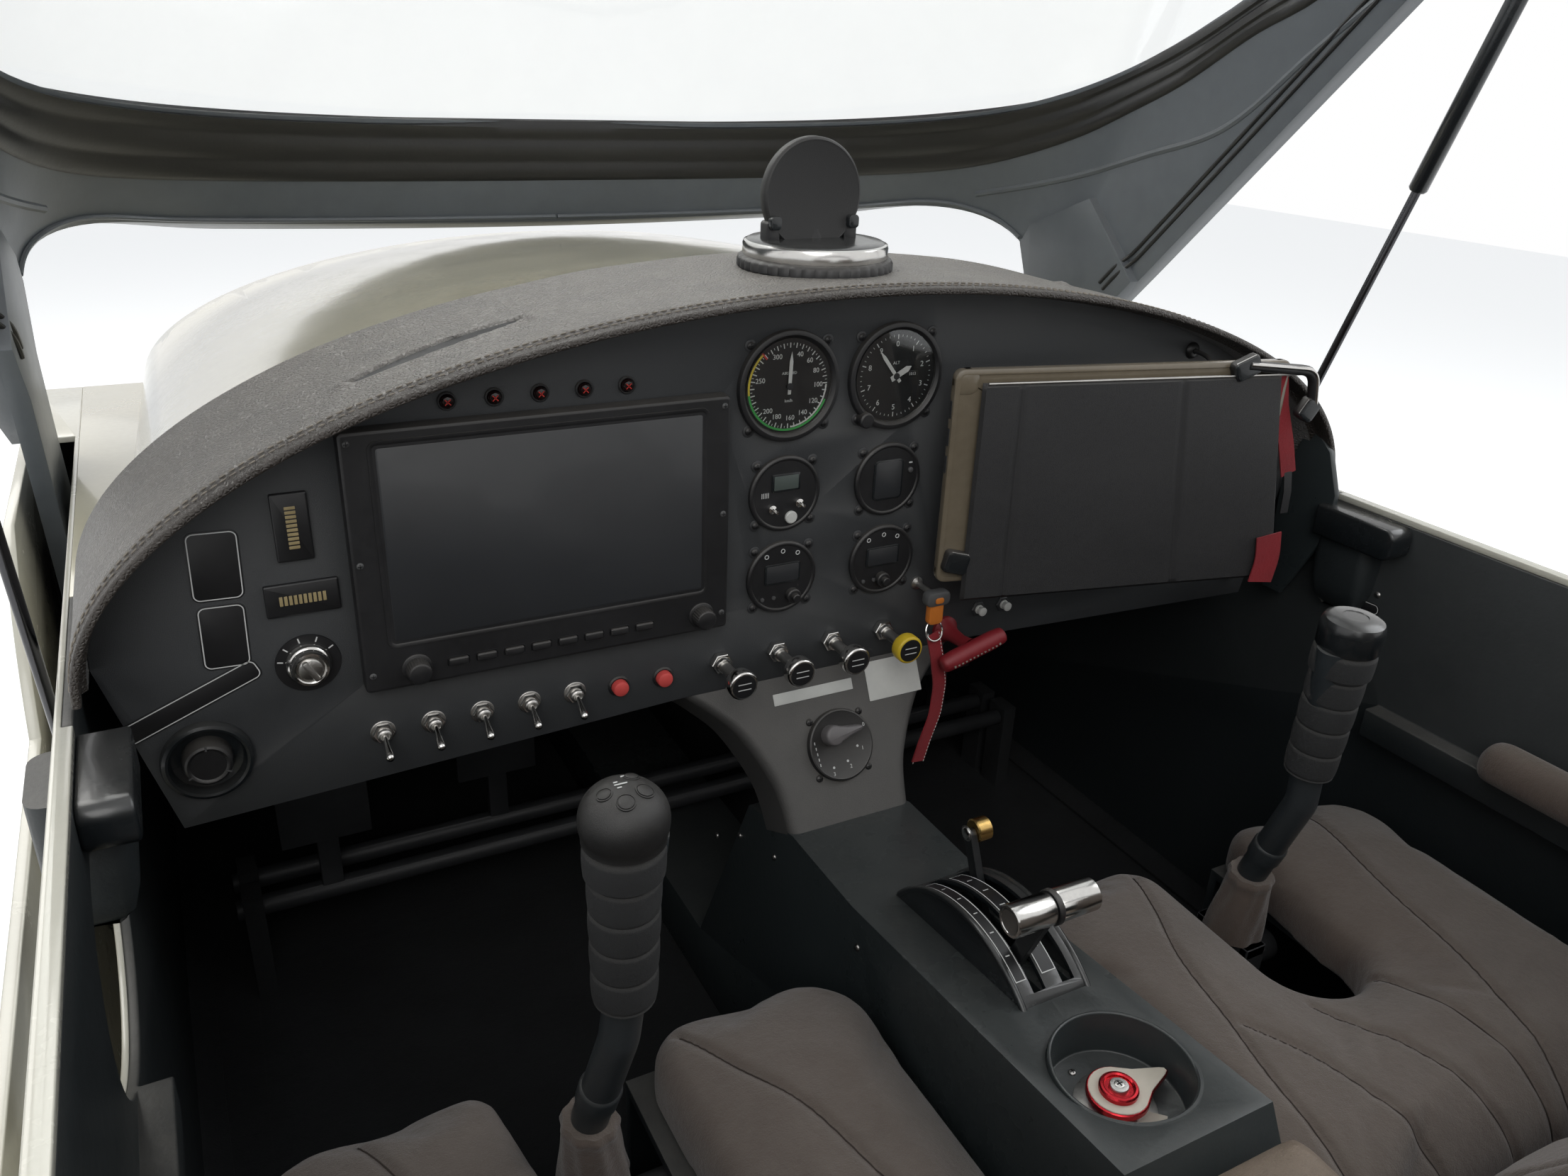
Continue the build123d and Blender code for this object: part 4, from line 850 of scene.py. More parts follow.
# where a ray from the centre plane meets the canopy, with its normal turned inwards
def inward(y, z, way, reach=0.62):
    openY, openZ = swungOpen(y, z)
    hit, normal, _, far = canopySkin.ray_cast(row((0, openY, openZ)), way)
    if hit is None or far > reach:
        return None
    return cabin(hit), -normal if normal.dot(way) > 0 else normal


def belowCrown(y, z):
    up = Vector((0, *(b - a for a, b in zip(swungOpen(0, 0), swungOpen(0, 1)))))
    crown = inward(y, z - 300, up, 2.0)
    return crown is not None and (crown[0] - Vector((0, *swungOpen(y, z)))).dot(up) > 0


def halfLine(sidePoints):    # the right half: side view points carried out to the frame's inner face
    line = [p for p in lineThrough(sidePoints, 4000) if belowCrown(*p)]
    last = canopySettings["rays"] - 1
    shares = [1 - (1 - k / last) ** 2.4 for k in range(last + 1)]    # closer together towards the crown
    found = [inward(*line[round(share * (len(line) - 1))], Vector((1, 0, 0))) for share in shares]
    return [f for f in found if f]


def onFrame(sidePoints):    # (point, inward normal) from the right rail over the bow to the left, in cabin mm
    found = halfLine(sidePoints)
    other = [(Vector((-p.x, p.y, p.z)), Vector((-n.x, n.y, n.z))) for p, n in reversed(found)]
    return found + other


def evenly(line, count):    # the same line with evenly spaced points, normals smoothed along it
    spans = [0.0]
    for (a, _), (b, _) in zip(line, line[1:]):
        spans.append(spans[-1] + (b - a).length)
    points, normals, i = [], [], 0
    for k in range(count):
        want = spans[-1] * k / (count - 1)
        while i < len(spans) - 2 and spans[i + 1] < want:
            i += 1
        t = (want - spans[i]) / max(1e-6, spans[i + 1] - spans[i])
        points.append(line[i][0].lerp(line[i + 1][0], t))
        normals.append(line[i][1].lerp(line[i + 1][1], t).normalized())
    for _ in range(3):
        points = [points[0]] + [(a + b * 2 + c) / 4 for a, b, c in zip(points, points[1:], points[2:])] + [points[-1]]
        normals = [normals[0]] + [(a + b * 2 + c).normalized() for a, b, c in zip(normals, normals[1:], normals[2:])] \
            + [normals[-1]]
    return list(zip(points, normals))


def between(first, second, share):
    return [(a[0] + (b[0] - a[0]) * share, a[1] + (b[1] - a[1]) * share) for a, b in zip(first, second)]


def makeCanopyTrim():
    s = canopySettings
    forms = []
    top, low = lineThrough(s["glassEdge"], 60), lineThrough(s["bandEdge"], 60)
    rows = []
    for share, lift in ((-0.02, 0.2), (0.0, 2.4), (0.12, 4.2), (0.24, 4.4), (0.3, 2.0), (0.36, 2.0), (0.42, 4.0),
                        (0.62, 4.4), (0.68, 2.2), (0.74, 2.2), (0.8, 3.8), (0.95, 3.4), (1.0, 2.0), (1.03, 0.2)):
        line = evenly(onFrame(between(top, low, share)), s["samples"])
        rows.append([p + n * lift for p, n in line])
    forms.append((gridForm(rows), here, "sealRubber"))
    for side in (1, -1):
        flip = lambda p: Vector((p.x * side, p.y, p.z))
        for line, lift, radius, material in (("cutEdge", 1.0, s["bead"], "railCoat"),
                                             ("crease", -1.6, 4.2, "railCoat")):
            part = evenly(halfLine(s[line]), 90)
            forms.append((pipe([flip(p + n * lift) for p, n in part], radius, 8), here, material))
        # dark tubes along the rails: painted shade of the grooves, in the rubber colour
        for height in s["railGrooveShade"]:
            part = evenly(halfLine([(-850, height), (-500, height), (-200, height), (60, height)]), 90)
            forms.append((pipe([flip(p + n * 0.9) for p, n in part], s["groove"], 8), here, "sealRubber"))
    build("canopyTrim", forms, body="canopy")


makeCanopyTrim()
print("stage: canopy")


# gas struts
strutSettings = {"x": 547, "foot": (118, -400), "back": 1001.6, "rise": 152.6, "tubeLong": 286, "rodLong": 657}


def makeStruts():
    s = strutSettings
    hingeY, hingeZ = canopySettings["hinge"]
    y1, z1 = swungOpen(hingeY - s["back"], hingeZ + s["rise"])
    y0, z0 = s["foot"]
    way = Vector((0, y1 - y0, z1 - z0))
    full = way.length
    eye = lathe([(4.6, -6), (8.2, -6), (9, -5), (9, 5), (8.2, 6), (4.6, 6)], 24)
    for x, rodNode in ((s["x"], "strut_rod_right"), (-s["x"], "strut_rod_left")):
        turned = moved(x, y0, z0) @ aimed(way)
        rod = lathe([(0, 7), (3.6, 7), (4, 8), (4, s["rodLong"] - 1), (3.4, s["rodLong"]), (0, s["rodLong"])], 20)
        nut = lathe([(4, 9), (6.5, 10), (6.5, 20), (4, 22)], 6)
        build(rodNode + "Shaft", [(rod, turned, "strutRod"), (nut, turned, "satinMetal"),
                                  (eye, at(x, y0, z0, (0, 1, 0), (0, 0, 1)), "blackPlastic")], (rodNode,),
              "strut_rods")
    forms = []
    for x in (s["x"], -s["x"]):
        turned = moved(x, y0, z0) @ aimed(way)
        low = full - s["tubeLong"]
        tube = lathe([(4.5, low + 30), (4.5, low), (6.6, low), (8, low + 2), (8, full - 14), (6, full - 9),
                      (4.8, full - 8), (4.8, full - 4), (0, full - 4)], 24)
        forms += [(tube, turned, "capGloss"), (eye, at(x, y1, z1, (0, 1, 0), (0, 0, 1)), "blackPlastic")]
    build("strutTubes", forms, ("strut_tubes",), "strut_tubes")


makeStruts()
print("stage: struts")


# glareshield: stitched leather over an arch, with a rolled lip and two defrost slots
shieldSettings = {
    "half": 525, "rise": 210, "foot": -135, "lipY": -48, "frontY": 133, "thick": 8, "lipThick": 5, "lipDeep": 18,
    "roll": 2.2, "across": 430, "along": 62, "seamY": (-37, -29),
    "slotX": 290, "slotY": 26, "slotTurn": 7, "slotLong": 122, "slotWide": 17, "slotDeep": 9,
    "slotRim": 0.5, "slotPinch": 2.6, "slotShadeDeep": 1.1, "slotShadeInset": 0.9, "ripple": 1.1,
}


def archPoint(angle, inward, y):    # on the glareshield's half ellipse, drawn in along its normal
    s = shieldSettings
    c, n = cos(angle), sin(angle)
    normal = Vector((c / s["half"], 0, n / s["rise"])).normalized()
    return Vector((s["half"] * c, y, s["foot"] + s["rise"] * n)) - normal * inward, normal


def archTurn(x):    # the angle of the arch's point over x
    return acos(max(-1, min(1, x / shieldSettings["half"])))


def slotSink(x, y):    # how far the leather dips into a defrost slot, or rises round it
    s = shieldSettings
    turn = radians(s["slotTurn"])
    dx, dy = abs(x) - s["slotX"], y - s["slotY"]
    along, off = dx * cos(turn) - dy * sin(turn), dx * sin(turn) + dy * cos(turn)
    t = abs(along) / (s["slotLong"] / 2)
    if t > 1.25:
        return 0.0
    wide = s["slotWide"] / 2 * max(0.0, 1 - t * t) ** 0.6
    sink = s["slotDeep"] * min(1, max(0.0, (wide - abs(off)) / 3.5))
    rim = s["slotRim"] * exp(-((abs(off) - wide - 3) / 3.5) ** 2) if t < 1.05 else 0.0
    pinch = s["slotPinch"] * exp(-((t - 1.02) / 0.1) ** 2 - (off / 7) ** 2)
    return sink - rim * (1 - min(1, sink)) - pinch


def makeGlareshield():
    s = shieldSettings
    lip, front, r = s["lipY"], s["frontY"], s["roll"]
    profile = [(front, s["thick"]), (lip + s["lipDeep"] + 4, s["thick"]), (lip + s["lipDeep"], s["lipThick"] - 1),
               (lip + s["lipDeep"] - 4, s["lipThick"] - 0.2)]
    for k in range(7):    # rolled edge
        a = radians(90 + 15 * k)
        profile.append((lip + r + r * cos(a), s["lipThick"] - r + r * sin(a)))
    for k in range(7):
        a = radians(180 + 15 * k)
        profile.append((lip + r + r * cos(a), r - r * sin(a - pi)))
    profile = [(y, max(0.0, inset)) for y, inset in profile]
    profile += [(lip + 8, 0.0), (lip + 11, 0.9), (lip + 13, 0.1), (lip + 18.5, 0.0), (lip + 21, 1.4), (lip + 23.5, 0.1)]
    for k in range(s["along"] + 1):
        profile.append((lip + 25 + (front - 3 - lip - 25) * k / s["along"], 0.0))
    profile += [(front, 2.5)]
    rows = []
    for k in range(s["across"] + 1):
        angle = pi * k / s["across"]
        line = []
        for y, inset in profile:
            if inset < 1 and y > lip + 24:
                x = s["half"] * cos(angle)
                ripple = s["ripple"] * noise.noise(Vector((x / 70, y / 60, 0.4)))
                inset += ripple * min(1, (y - lip) / 40) + slotSink(x, y)
            line.append(archPoint(angle, inset + 0.2, y)[0])
        rows.append(line)
    points, faces = gridForm(rows, closedColumns=True)
    wide = len(profile)
    faces += [tuple(range(wide)), tuple(range(len(points) - 1, len(points) - 1 - wide, -1))]
    obj = build("glareshieldLeather", [((points, faces), here, "shieldLeather")], ("glareshield",),
                angle=60)
    obj.data.materials.append(paint["lipLeather"])
    edgeY = row((0, lip + 21.2, 0)).y
    for face in obj.data.polygons:    # the lip is a darker strip of its own
        if face.center.y < edgeY:
            face.material_index = 1
    lines = [[archPoint(pi * (0.012 + 0.976 * k / 400), -0.25, y)[0] for k in range(401)] for y in s["seamY"]]
    stitches("glareshieldStitches", lines, 6.2, 4.6, 1.2)


def makeSlots():    # painted shade: a black strip over each defrost slot for the dark duct seen through it
    s = shieldSettings
    forms = []
    for side in (-1, 1):
        strip = []
        for k in range(41):
            t = k / 20 - 1
            along = t * s["slotLong"] / 2 * cos(radians(s["slotTurn"]))
            drift = t * s["slotLong"] / 2 * sin(radians(s["slotTurn"]))
            half = max(0.4, s["slotWide"] / 2 * (1 - t * t) ** 0.6 - s["slotShadeInset"])
            strip.append([archPoint(archTurn(side * (s["slotX"] + along)), s["slotShadeDeep"], s["slotY"] - drift + w)[0]
                          for w in (-half, half)])
        # painted shade: black laid just under the leather's surface over the dipped slot
        forms.append((gridForm(strip), here, "dialBlack"))
    build("defrostSlotShade", forms, angle=60)


makeGlareshield()
makeSlots()
print("stage: glareshield")


# the seal strip where the deck meets the glareshield, and its rivets
deckSettings = {"half": 498, "rise": 202, "foot": -140, "y": 133, "long": 607, "narrows": 28, "drops": 52}


def ledgePoint(angle, y, lift):    # on the deck's tapering arch, raised along its normal
    s = deckSettings
    c, n = cos(angle), sin(angle)
    normal = Vector((c / s["half"], 0, n / s["rise"])).normalized()
    share = (y - s["y"]) / s["long"]
    half, rise = s["half"] - s["narrows"] * share, s["rise"] - s["drops"] * share
    return Vector((half * c, y, s["foot"] + rise * n)) + normal * lift


def makeDeckSeal():
    s = deckSettings
    rows = []
    for k in range(161):
        a = pi * (0.02 + 0.96 * k / 160)
        line = []
        for y, lift in ((s["y"] - 1, 0.4), (s["y"], 8), (s["y"] + 3, 10.5), (s["y"] + 8, 9.5), (s["y"] + 13, 5.5),
                        (s["y"] + 17, 4.6), (s["y"] + 22, 4.4), (s["y"] + 24, 2.6), (s["y"] + 25, 0.3)):
            line.append(ledgePoint(a, y, lift))
        rows.append(line)
    forms = [(gridForm(rows), here, "creamPaint")]
    band, spots = [], []
    for k in range(161):
        a = pi * (0.02 + 0.96 * k / 160)
        band.append([ledgePoint(a, y, lift) for y, lift in ((158, 0.2), (158.5, 2.4), (171, 2.2), (172, 0.2))])
        if k % 4 == 2:
            spots.append((ledgePoint(a, 186, 0.2), ledgePoint(a, 186, 1) - ledgePoint(a, 186, 0)))
    # a darker olive band on the deck just ahead of the seal strip
    forms.append((gridForm(band), here, "oliveBand"))
    build("deckLedge", forms, angle=50)
    fasteners("deckRivets", spots, 2.4, 0.9, "creamPaint", cross=False)


makeDeckSeal()


# instruments: turned bezels, printed dials with pointers, and clear covers
bezelSettings = {"largeR": 41.5, "smallR": 30, "deep": 5, "screwLarge": 31.45, "screwSmall": 23.55, "column": 46}
dialSettings = {
    "airspeed_indicator": dict(x=-46, z=0, numbers=[(40, 20), (60, 43), (80, 66), (100, 92), (120, 122), (140, 150),
                                                    (160, 176), (180, 203), (200, 224), (250, 283), (300, 335)],
                               arcs=[(92, 176, "whitePrint", 30.4, 31.6), (112, 262, "greenPrint", 32.0, 33.6),
                                     (262, 318, "yellowPrint", 32.0, 33.6), (317, 319.5, "redPrint", 28, 34)],
                               ticks=72, pointer=(2, 25.5), size=5.2, spread=24.2, words=[("AIRSPEED", 0, 9.5, 2.9),
                                                                                        ("km/h", 0, -11, 3.2)]),
    "altimeter": dict(x=46, z=0, numbers=[(n, n * 36) for n in range(10)], arcs=[], ticks=50, pointer=(-38, 26),
                      second=(62, 15), size=6.0, spread=24.5, words=[("ALT", 0, 10, 3.4)]),
}


def arcForm(first, last, inner, outer, height=0.2):    # a flat ring part, clockwise from the top
    steps = max(2, int(abs(last - first) / 4))
    rows = []
    for k in range(steps + 1):
        a = radians(90 - (first + (last - first) * k / steps))
        rows.append([Vector((r * cos(a), r * sin(a), height)) for r in (inner, outer)])
    return gridForm(rows)


def tickForm(angle, inner, outer, wide, height=0.2):
    a = radians(90 - angle)
    along, side = Vector((cos(a), sin(a), 0)), Vector((-sin(a), cos(a), 0))
    up = Vector((0, 0, height))
    return ([tuple(along * r + side * w * wide / 2 + up) for r, w in ((inner, -1), (inner, 1), (outer, 1),
                                                                      (outer, -1))], [(0, 1, 2, 3)])


def bezelForm(r, deep):
    return lathe([(r, -0.2), (r, deep - 1.6), (r - 0.5, deep - 0.5), (r - 1.6, deep), (r - 3.6, deep),
                  (r - 4.4, deep - 0.7), (r - 6.2, deep - 3.2), (r - 6.6, 1.2), (0, 1.2)], 64)


def caseForm(r, deep):
    return lathe([(0, -deep), (r - 4, -deep), (r - 3.2, -deep + 1), (r - 3.2, 0.5), (0, 0.5)], 40)


def glassForm(r, height):    # a thin clear cover, slightly domed
    return lathe([(0, height), (r * 0.5, height - 0.1), (r, height - 0.5), (r, height - 1.1), (r * 0.5, height - 0.8),
                  (0, height - 0.7)], 40)


def pointerForm(angle, long, wide=1.5, tail=6):
    a = radians(90 - angle)
    along, side = Vector((cos(a), sin(a), 0)), Vector((-sin(a), cos(a), 0))
    flat = [along * -tail + side * wide * 0.9, along * -tail - side * wide * 0.9, along * long * 0.72 - side * wide,
            along * long, along * long * 0.72 + side * wide]
    return layered([(p.x, p.y) for p in flat], [(0.0, 1.2), (0.15, 1.7)])


def makeDials():
    s = bezelSettings
    for name, d in dialSettings.items():
        place, r = onPanel(d["x"], d["z"]), s["largeR"]
        forms = [(bezelForm(r, s["deep"]), place, "blackPlastic"), (caseForm(r, 70), place, "blackPlastic"),
                 (lathe([(0, 1.5), (r - 6.6, 1.5), (r - 6.6, 1.3), (0, 1.3)], 48), place, "dialBlack")]
        lift = place @ moved(0, 0, 1.45)
        for k in range(d["ticks"]):
            angle = 360 * k / d["ticks"]
            whole = k % (2 if d["ticks"] > 60 else 5) == 0
            forms.append((tickForm(angle, 28.2 if whole else 30.0, 31.8 if whole else 31.6, 0.8 if whole else 0.45),
                          lift, "whitePrint"))
        for first, last, material, inner, outer in d["arcs"]:
            forms.append((arcForm(first, last, inner, outer, 0.3), lift, material))
        for number, angle in d["numbers"]:
            a = radians(90 - angle)
            spot = lift @ moved(d["spread"] * cos(a), d["spread"] * sin(a), 0.15)
            forms.append((lettering(str(number), d["size"]), spot, "whitePrint"))
        for word, x, z, size in d["words"]:
            forms.append((lettering(word, size), lift @ moved(x, z, 0.15), "whitePrint"))
        forms.append((pointerForm(*d["pointer"]), lift, "whitePrint"))
        if "second" in d:
            forms.append((pointerForm(d["second"][0], d["second"][1], 2.4, 5), lift, "whitePrint"))
        forms.append((lathe([(2.6, 0.6), (2.6, 2.4), (0, 2.8)], 20), lift, "dialBlack"))
        if name == "altimeter":    # setting window and knob
            forms.append((slab(11, 5, 0.4, 0.8, 0.1), lift @ moved(15, 0.5, 0), "plateBlack"))
            forms.append((lettering("1013", 3.2), lift @ moved(15, 0.5, 0.5), "whitePrint"))
            forms.append((lathe([(0, 0), (5.6, 0), (6, 0.6), (6, 9), (5, 10), (0, 10.2)], 18),
                          place @ moved(-27, -31, 0), "blackPlastic"))
        build(name + "Dial", forms, (name,))
        build(name + "Glass", [(glassForm(r - 6.0, s["deep"] - 1.4), place, "dialGlass")])


def makeSmallInstruments():
    s = bezelSettings
    r = s["smallR"]
    for name, x, z in (("propeller_control", -46, -83), ("traffic_display", 46, -83), ("radio", -46, -152),
                       ("transponder", 46, -152)):
        place = onPanel(x, z)
        bezel = lathe([(r, -0.2), (r, 2.6), (r - 0.8, 3.6), (r - 2, 4), (r - 3, 3.7), (r - 3.6, 3.0), (0, 3.0)], 56)
        forms = [(bezel, place, "blackPlastic"), (caseForm(r, 70), place, "blackPlastic")]

        def put(form, u, v, material, lift=3.0):
            forms.append((form, place @ moved(u, v, lift), material))

        if name == "propeller_control":
            put(slab(24, 14, 1.0, 1.2, 0.3), 0, 9.5, "capGloss")
            put(slab(20.5, 11, 0.5, 0.6, 0.1), 0, 9.5, "greenScreen", 3.9)
            for u, v in ((-11, -11), (12, -8.5)):
                put(lathe([(0, 0), (3.4, 0), (3.4, 1.6), (2.2, 2.2), (1.3, 2.6), (1.1, 7.2), (1.5, 8.4), (0.9, 9.4),
                           (0, 9.6)], 14), u, v, "chrome")
            put(lathe([(0, 0), (4.6, 0), (5, 0.5), (5, 2.2), (4.2, 3), (0, 3.2)], 28), 5, -19, "plateWhite")
            for k in range(5):
                put(slab(0.5, 4.2, 0.15, 0.1, 0.02), -20 + 1.4 * k, 0.5, "whitePrint", 3.05)
        elif name == "traffic_display":
            put(slab(27, 33, 0.8, 4, 0.3), -0.5, 0, "capGloss")
            put(slab(24, 30, 0.4, 3, 0.1), -0.5, 0, "screenGlass", 3.7)
            put(lathe([(0, 0), (2.2, 0), (2.2, 1.4), (1.6, 1.9), (0, 2)], 18), 20, 6, "greyPlastic")
            put(slab(3.2, 1.2, 0.2, 0.4, 0.05), 20, 12, "whitePrint", 3.05)
        else:
            put(slab(31, 17, 0.8, 2, 0.3), 0, 3.5, "capGloss")
            put(slab(28, 14, 0.4, 1.4, 0.1), 0, 3.5, "screenGlass", 3.7)
            put(lathe([(0, 0), (5.6, 0), (6, 0.5), (6, 5), (5.2, 5.8), (3.4, 6), (3.4, 9.6), (2.8, 10.2), (0, 10.3)],
                      22), 9 if name == "radio" else 0, -16, "blackPlastic")
            for u in (-15, -5):
                put(lathe([(0, 0), (1.6, 0), (1.6, 1.2), (0, 1.5)], 14), u - 2, -16.5, "greyPlastic")
            for u, v in ((-14, 19), (0, 22), (13, 19)):
                put(lathe([(1.9, 0), (1.9, 0.3), (1.3, 0.3), (1.3, 0)], 18), u, v, "whitePrint", 3.0)
        build(name + "Face", forms, (name,))


def makeBezelScrews():
    s = bezelSettings
    spots = []
    for x in (-s["column"], s["column"]):
        for z, reach in ((0, s["screwLarge"]), (-83, s["screwSmall"]), (-152, s["screwSmall"])):
            for i in (-1, 1):
                for j in (-1, 1):
                    spots.append(((x + i * reach, -0.4, z + j * reach), (0, -1, 0)))
    fasteners("instrumentScrews", spots, 3.1, 1.9, "blackPlastic")
    forms = [(lathe([(0, 0), (4.6, 0), (4.6, 0.5), (4.2, 0.8), (0, 0.8)], 20), onPanel(p[0], p[2]), "darkSteel")
             for p, _ in spots]
    build("screwWashers", forms)


makeDials()
makeSmallInstruments()
makeBezelScrews()
print("stage: instruments")


# main display, lamps, switches and knobs along the panel
displaySettings = {"box": (-362.3, -96.9, -181, 0.2), "deep": 12, "screenMid": 12, "buttons": 8,
                   "knobs": (-328.3, -118.9), "knobZ": -167,
                   "screws": [(x, z) for z in (-7, -88, -168) for x in (-357, -102)]}


def knurled(r, high, ribs=28, cap=1.0):    # a round knob with fine ribs
    outline = []
    for k in range(ribs * 2):
        a = pi * k / ribs
        q = r if k % 2 == 0 else r - 0.45
        outline.append((q * cos(a), q * sin(a)))
    return layered(outline, [(0.2, 0), (0, 0.4), (0, high - cap), (cap * 0.4, high - cap * 0.35), (cap, high)])


def makeDisplay():
    s = displaySettings
    x0, x1, z0, z1 = s["box"]
    midX, midZ, wide, high, deep = (x0 + x1) / 2, (z0 + z1) / 2, x1 - x0, z1 - z0, s["deep"]
    place = onPanel(midX, midZ)
    outer = roundedBox(wide, high, 3.5)
    forms = [(layered(outer, [(0.5, 0), (0, 0.6), (0, deep - 2.2), (0.7, deep - 0.7), (2.2, deep), (2.6, deep)],
                      caps=True), place, "blackPlastic")]
    opening = [(x, z + s["screenMid"]) for x, z in roundedBox(wide - 40, high - 44, 3)]
    forms.append((layered(opening, [(0, deep + 0.05), (1.2, deep - 0.5), (2.4, deep - 2.4)], caps=False), place,
                  "dialBlack"))
    forms.append((layered(opening, [(-3.2, deep - 0.02), (-3.0, deep + 0.5), (-1.0, deep + 0.5), (-0.2, deep + 0.02)],
                          caps=False), place, "blackPlastic"))
    inner = [(x, z + s["screenMid"]) for x, z in roundedBox(wide - 44, high - 48, 2)]
    forms.append((layered(inner, [(0, deep + 0.02), (0.2, deep + 0.14)]), place, "screenGlass"))
    for k in range(s["buttons"]):    # keys under the screen
        x = -wide / 2 + 62 + k * 19.4
        key = layered(roundedBox(13.5, 5.6, 1.4), [(0, 0), (0, 1.5), (0.5, 2.1), (1.0, 2.3)])
        forms.append((key, place @ moved(x, -high / 2 + 13.5, deep), "blackPlastic"))
        well = layered(roundedBox(15.5, 7.6, 2), [(0.9, 0.05), (0.2, 0.5), (0, 0.05)], caps=False)
        forms.append((well, place @ moved(x, -high / 2 + 13.5, deep), "dialBlack"))
    for x in s["knobs"]:
        spot = onPanel(x, s["knobZ"], -deep)
        forms.append((lathe([(0, 0), (10, 0), (10, 0.8), (9.2, 1.4), (0, 1.4)], 36), spot, "blackPlastic"))
        forms.append((knurled(8, 12, 26, 1.2), spot, "blackPlastic"))
    case = slab(wide - 16, high - 16, 70, 2, 1)
    forms.append((case, place @ moved(0, 0, -70.2), "greyPlastic"))
    build("mainDisplay", forms, ("display_unit",))
    fasteners("displayScrews", [((x, -deep + 0.1, z), (0, -1, 0)) for x, z in s["screws"]], 2.4, 1.1, "greyPlastic")


panelSettings = {
    "lamps": (-292.1, 30.33, 11.3, 5), "toggles": (-353.4, 34.45, -218, 5), "buttons": ((-181.2, -220), (-145.4, -220)),
    "breakers": ((152.5, -217), (179.5, -217)), "knobs": (-97, 49.9, -217, 4), "key": (-394.5, -155),
    "vents": ((-463, -211.5), (463, -211.5)), "grommet": (356.5, -3),
}


def makeLenses():
    x0, pitch, z, count = panelSettings["lamps"]
    forms = []
    for k in range(count):
        spot = onPanel(x0 + k * pitch, z)
        forms.append((lathe([(0, 0), (5.8, 0), (6.2, 0.4), (6.2, 1.6), (5.6, 2.3), (5.0, 2.3), (4.6, 1.6)], 30), spot,
                      "blackPlastic"))
        forms.append((lathe([(4.7, 1.5), (4.4, 3.4), (3.4, 4.6), (1.6, 5.0), (0, 5.0)], 8), spot, "lampRed"))
        for turn in (45, 135):
            forms.append((tickForm(turn, -2.6, 2.6, 0.7, 5.05), spot, "redPrint"))
    build("warningLenses", forms, ("warning_lamps",))


def makeSwitches():
    x0, pitch, z, count = panelSettings["toggles"]
    forms = []
    for k in range(count):
        spot = onPanel(x0 + k * pitch, z)
        washer = lathe([(0, 0), (8.6, 0), (8.6, 0.7), (8.2, 1), (5, 1)], 32)
        nut = lathe([(0, 0.8), (7.2, 0.8), (7.6, 1.3), (7.6, 3.4), (7.0, 4.2), (4.6, 4.4)], 6)
        collar = lathe([(5.0, 3.6), (5.0, 7.0), (4.4, 7.8), (3.2, 8.2), (2.4, 7.6), (0, 7.6)], 22)
        tilt = spot @ moved(0, 0, 6) @ spun(-29, "X").inverted()
        bat = lathe([(0, -1), (1.7, 0), (1.8, 3), (2.1, 9), (2.8, 15), (3.1, 17.6), (2.7, 19.4), (1.5, 20.4),
                     (0, 20.6)], 18)
        forms += [(washer, spot, "satinMetal"), (nut, spot, "chrome"), (collar, spot, "satinMetal"),
                  (bat, tilt, "chrome")]
    build("toggleLevers", forms, ("toggle_switches",))


def makeFittings():
    s = panelSettings
    forms = []
    for x, z in s["buttons"]:
        spot = onPanel(x, z)
        forms.append((lathe([(0, 0), (8.4, 0), (8.4, 1), (7.4, 2.2), (6.6, 2.2)], 28), spot, "blackPlastic"))
        forms.append((lathe([(6.3, 1), (6.3, 5.6), (5.8, 7), (4.4, 7.8), (0, 8.0)], 28), spot, "buttonRed"))
    for x, z in s["breakers"]:
        spot = onPanel(x, z)
        forms.append((lathe([(0, 0), (7.4, 0), (7.4, 1), (6.2, 2), (4.6, 2)], 6), spot, "darkSteel"))
        forms.append((lathe([(4.2, 1), (4.2, 3), (3.4, 3.4), (3.4, 6), (4, 6.6), (4, 8.4), (3.2, 9), (0, 9)], 20), spot,
                      "plateWhite"))
    x, z = s["grommet"]
    spot = onPanel(x, z)
    forms.append((lathe([(4.5, -12), (4.5, -1), (7, -0.6), (7.4, 0.8), (6.6, 2.6), (4.8, 3.6), (2.6, 4), (2.2, 3.4),
                         (2.2, -3)], 28), spot, "sealRubber"))
    build("panelButtons", forms, ("panel_fittings",))


def makeKnobs():
    x0, pitch, z, count = panelSettings["knobs"]
    forms = []
    for k in range(count):
        spot = onPanel(x0 + k * pitch, z)
        nut = lathe([(0, 0), (8.4, 0), (9, 0.6), (9, 5.4), (8.4, 6), (6.6, 6.2)], 6)
        sleeve = lathe([(6.6, 5), (6.6, 9.2), (6, 10), (4.6, 10)], 24)
        stem = lathe([(4.4, 8), (4.4, 30)], 22)
        flare = lathe([(4.4, 27), (5.4, 29.5), (9.6, 33.4), (11.6, 35), (12, 36), (12, 43.4), (11.4, 44.6),
                       (10.4, 45.2), (9.8, 45.2)], 36)
        face = lathe([(9.9, 44.8), (9.6, 45.4), (0, 45.7)], 36)
        last = k == count - 1
        forms += [(nut, spot, "chrome"), (sleeve, spot, "chrome"), (stem, spot, "satinMetal"),
                  (flare, spot, "yellowPlastic" if last else "chrome"), (face, spot, "plateBlack")]
        for v in (-2.4, 2.4):    # two engraved lines, left unlettered
            forms.append((tickForm(90, -5.5, 5.5, 0.8, 45.8), spot @ moved(0, v, 0), "whitePrint"))
    build("pullKnobHeads", forms, ("pull_knobs",))


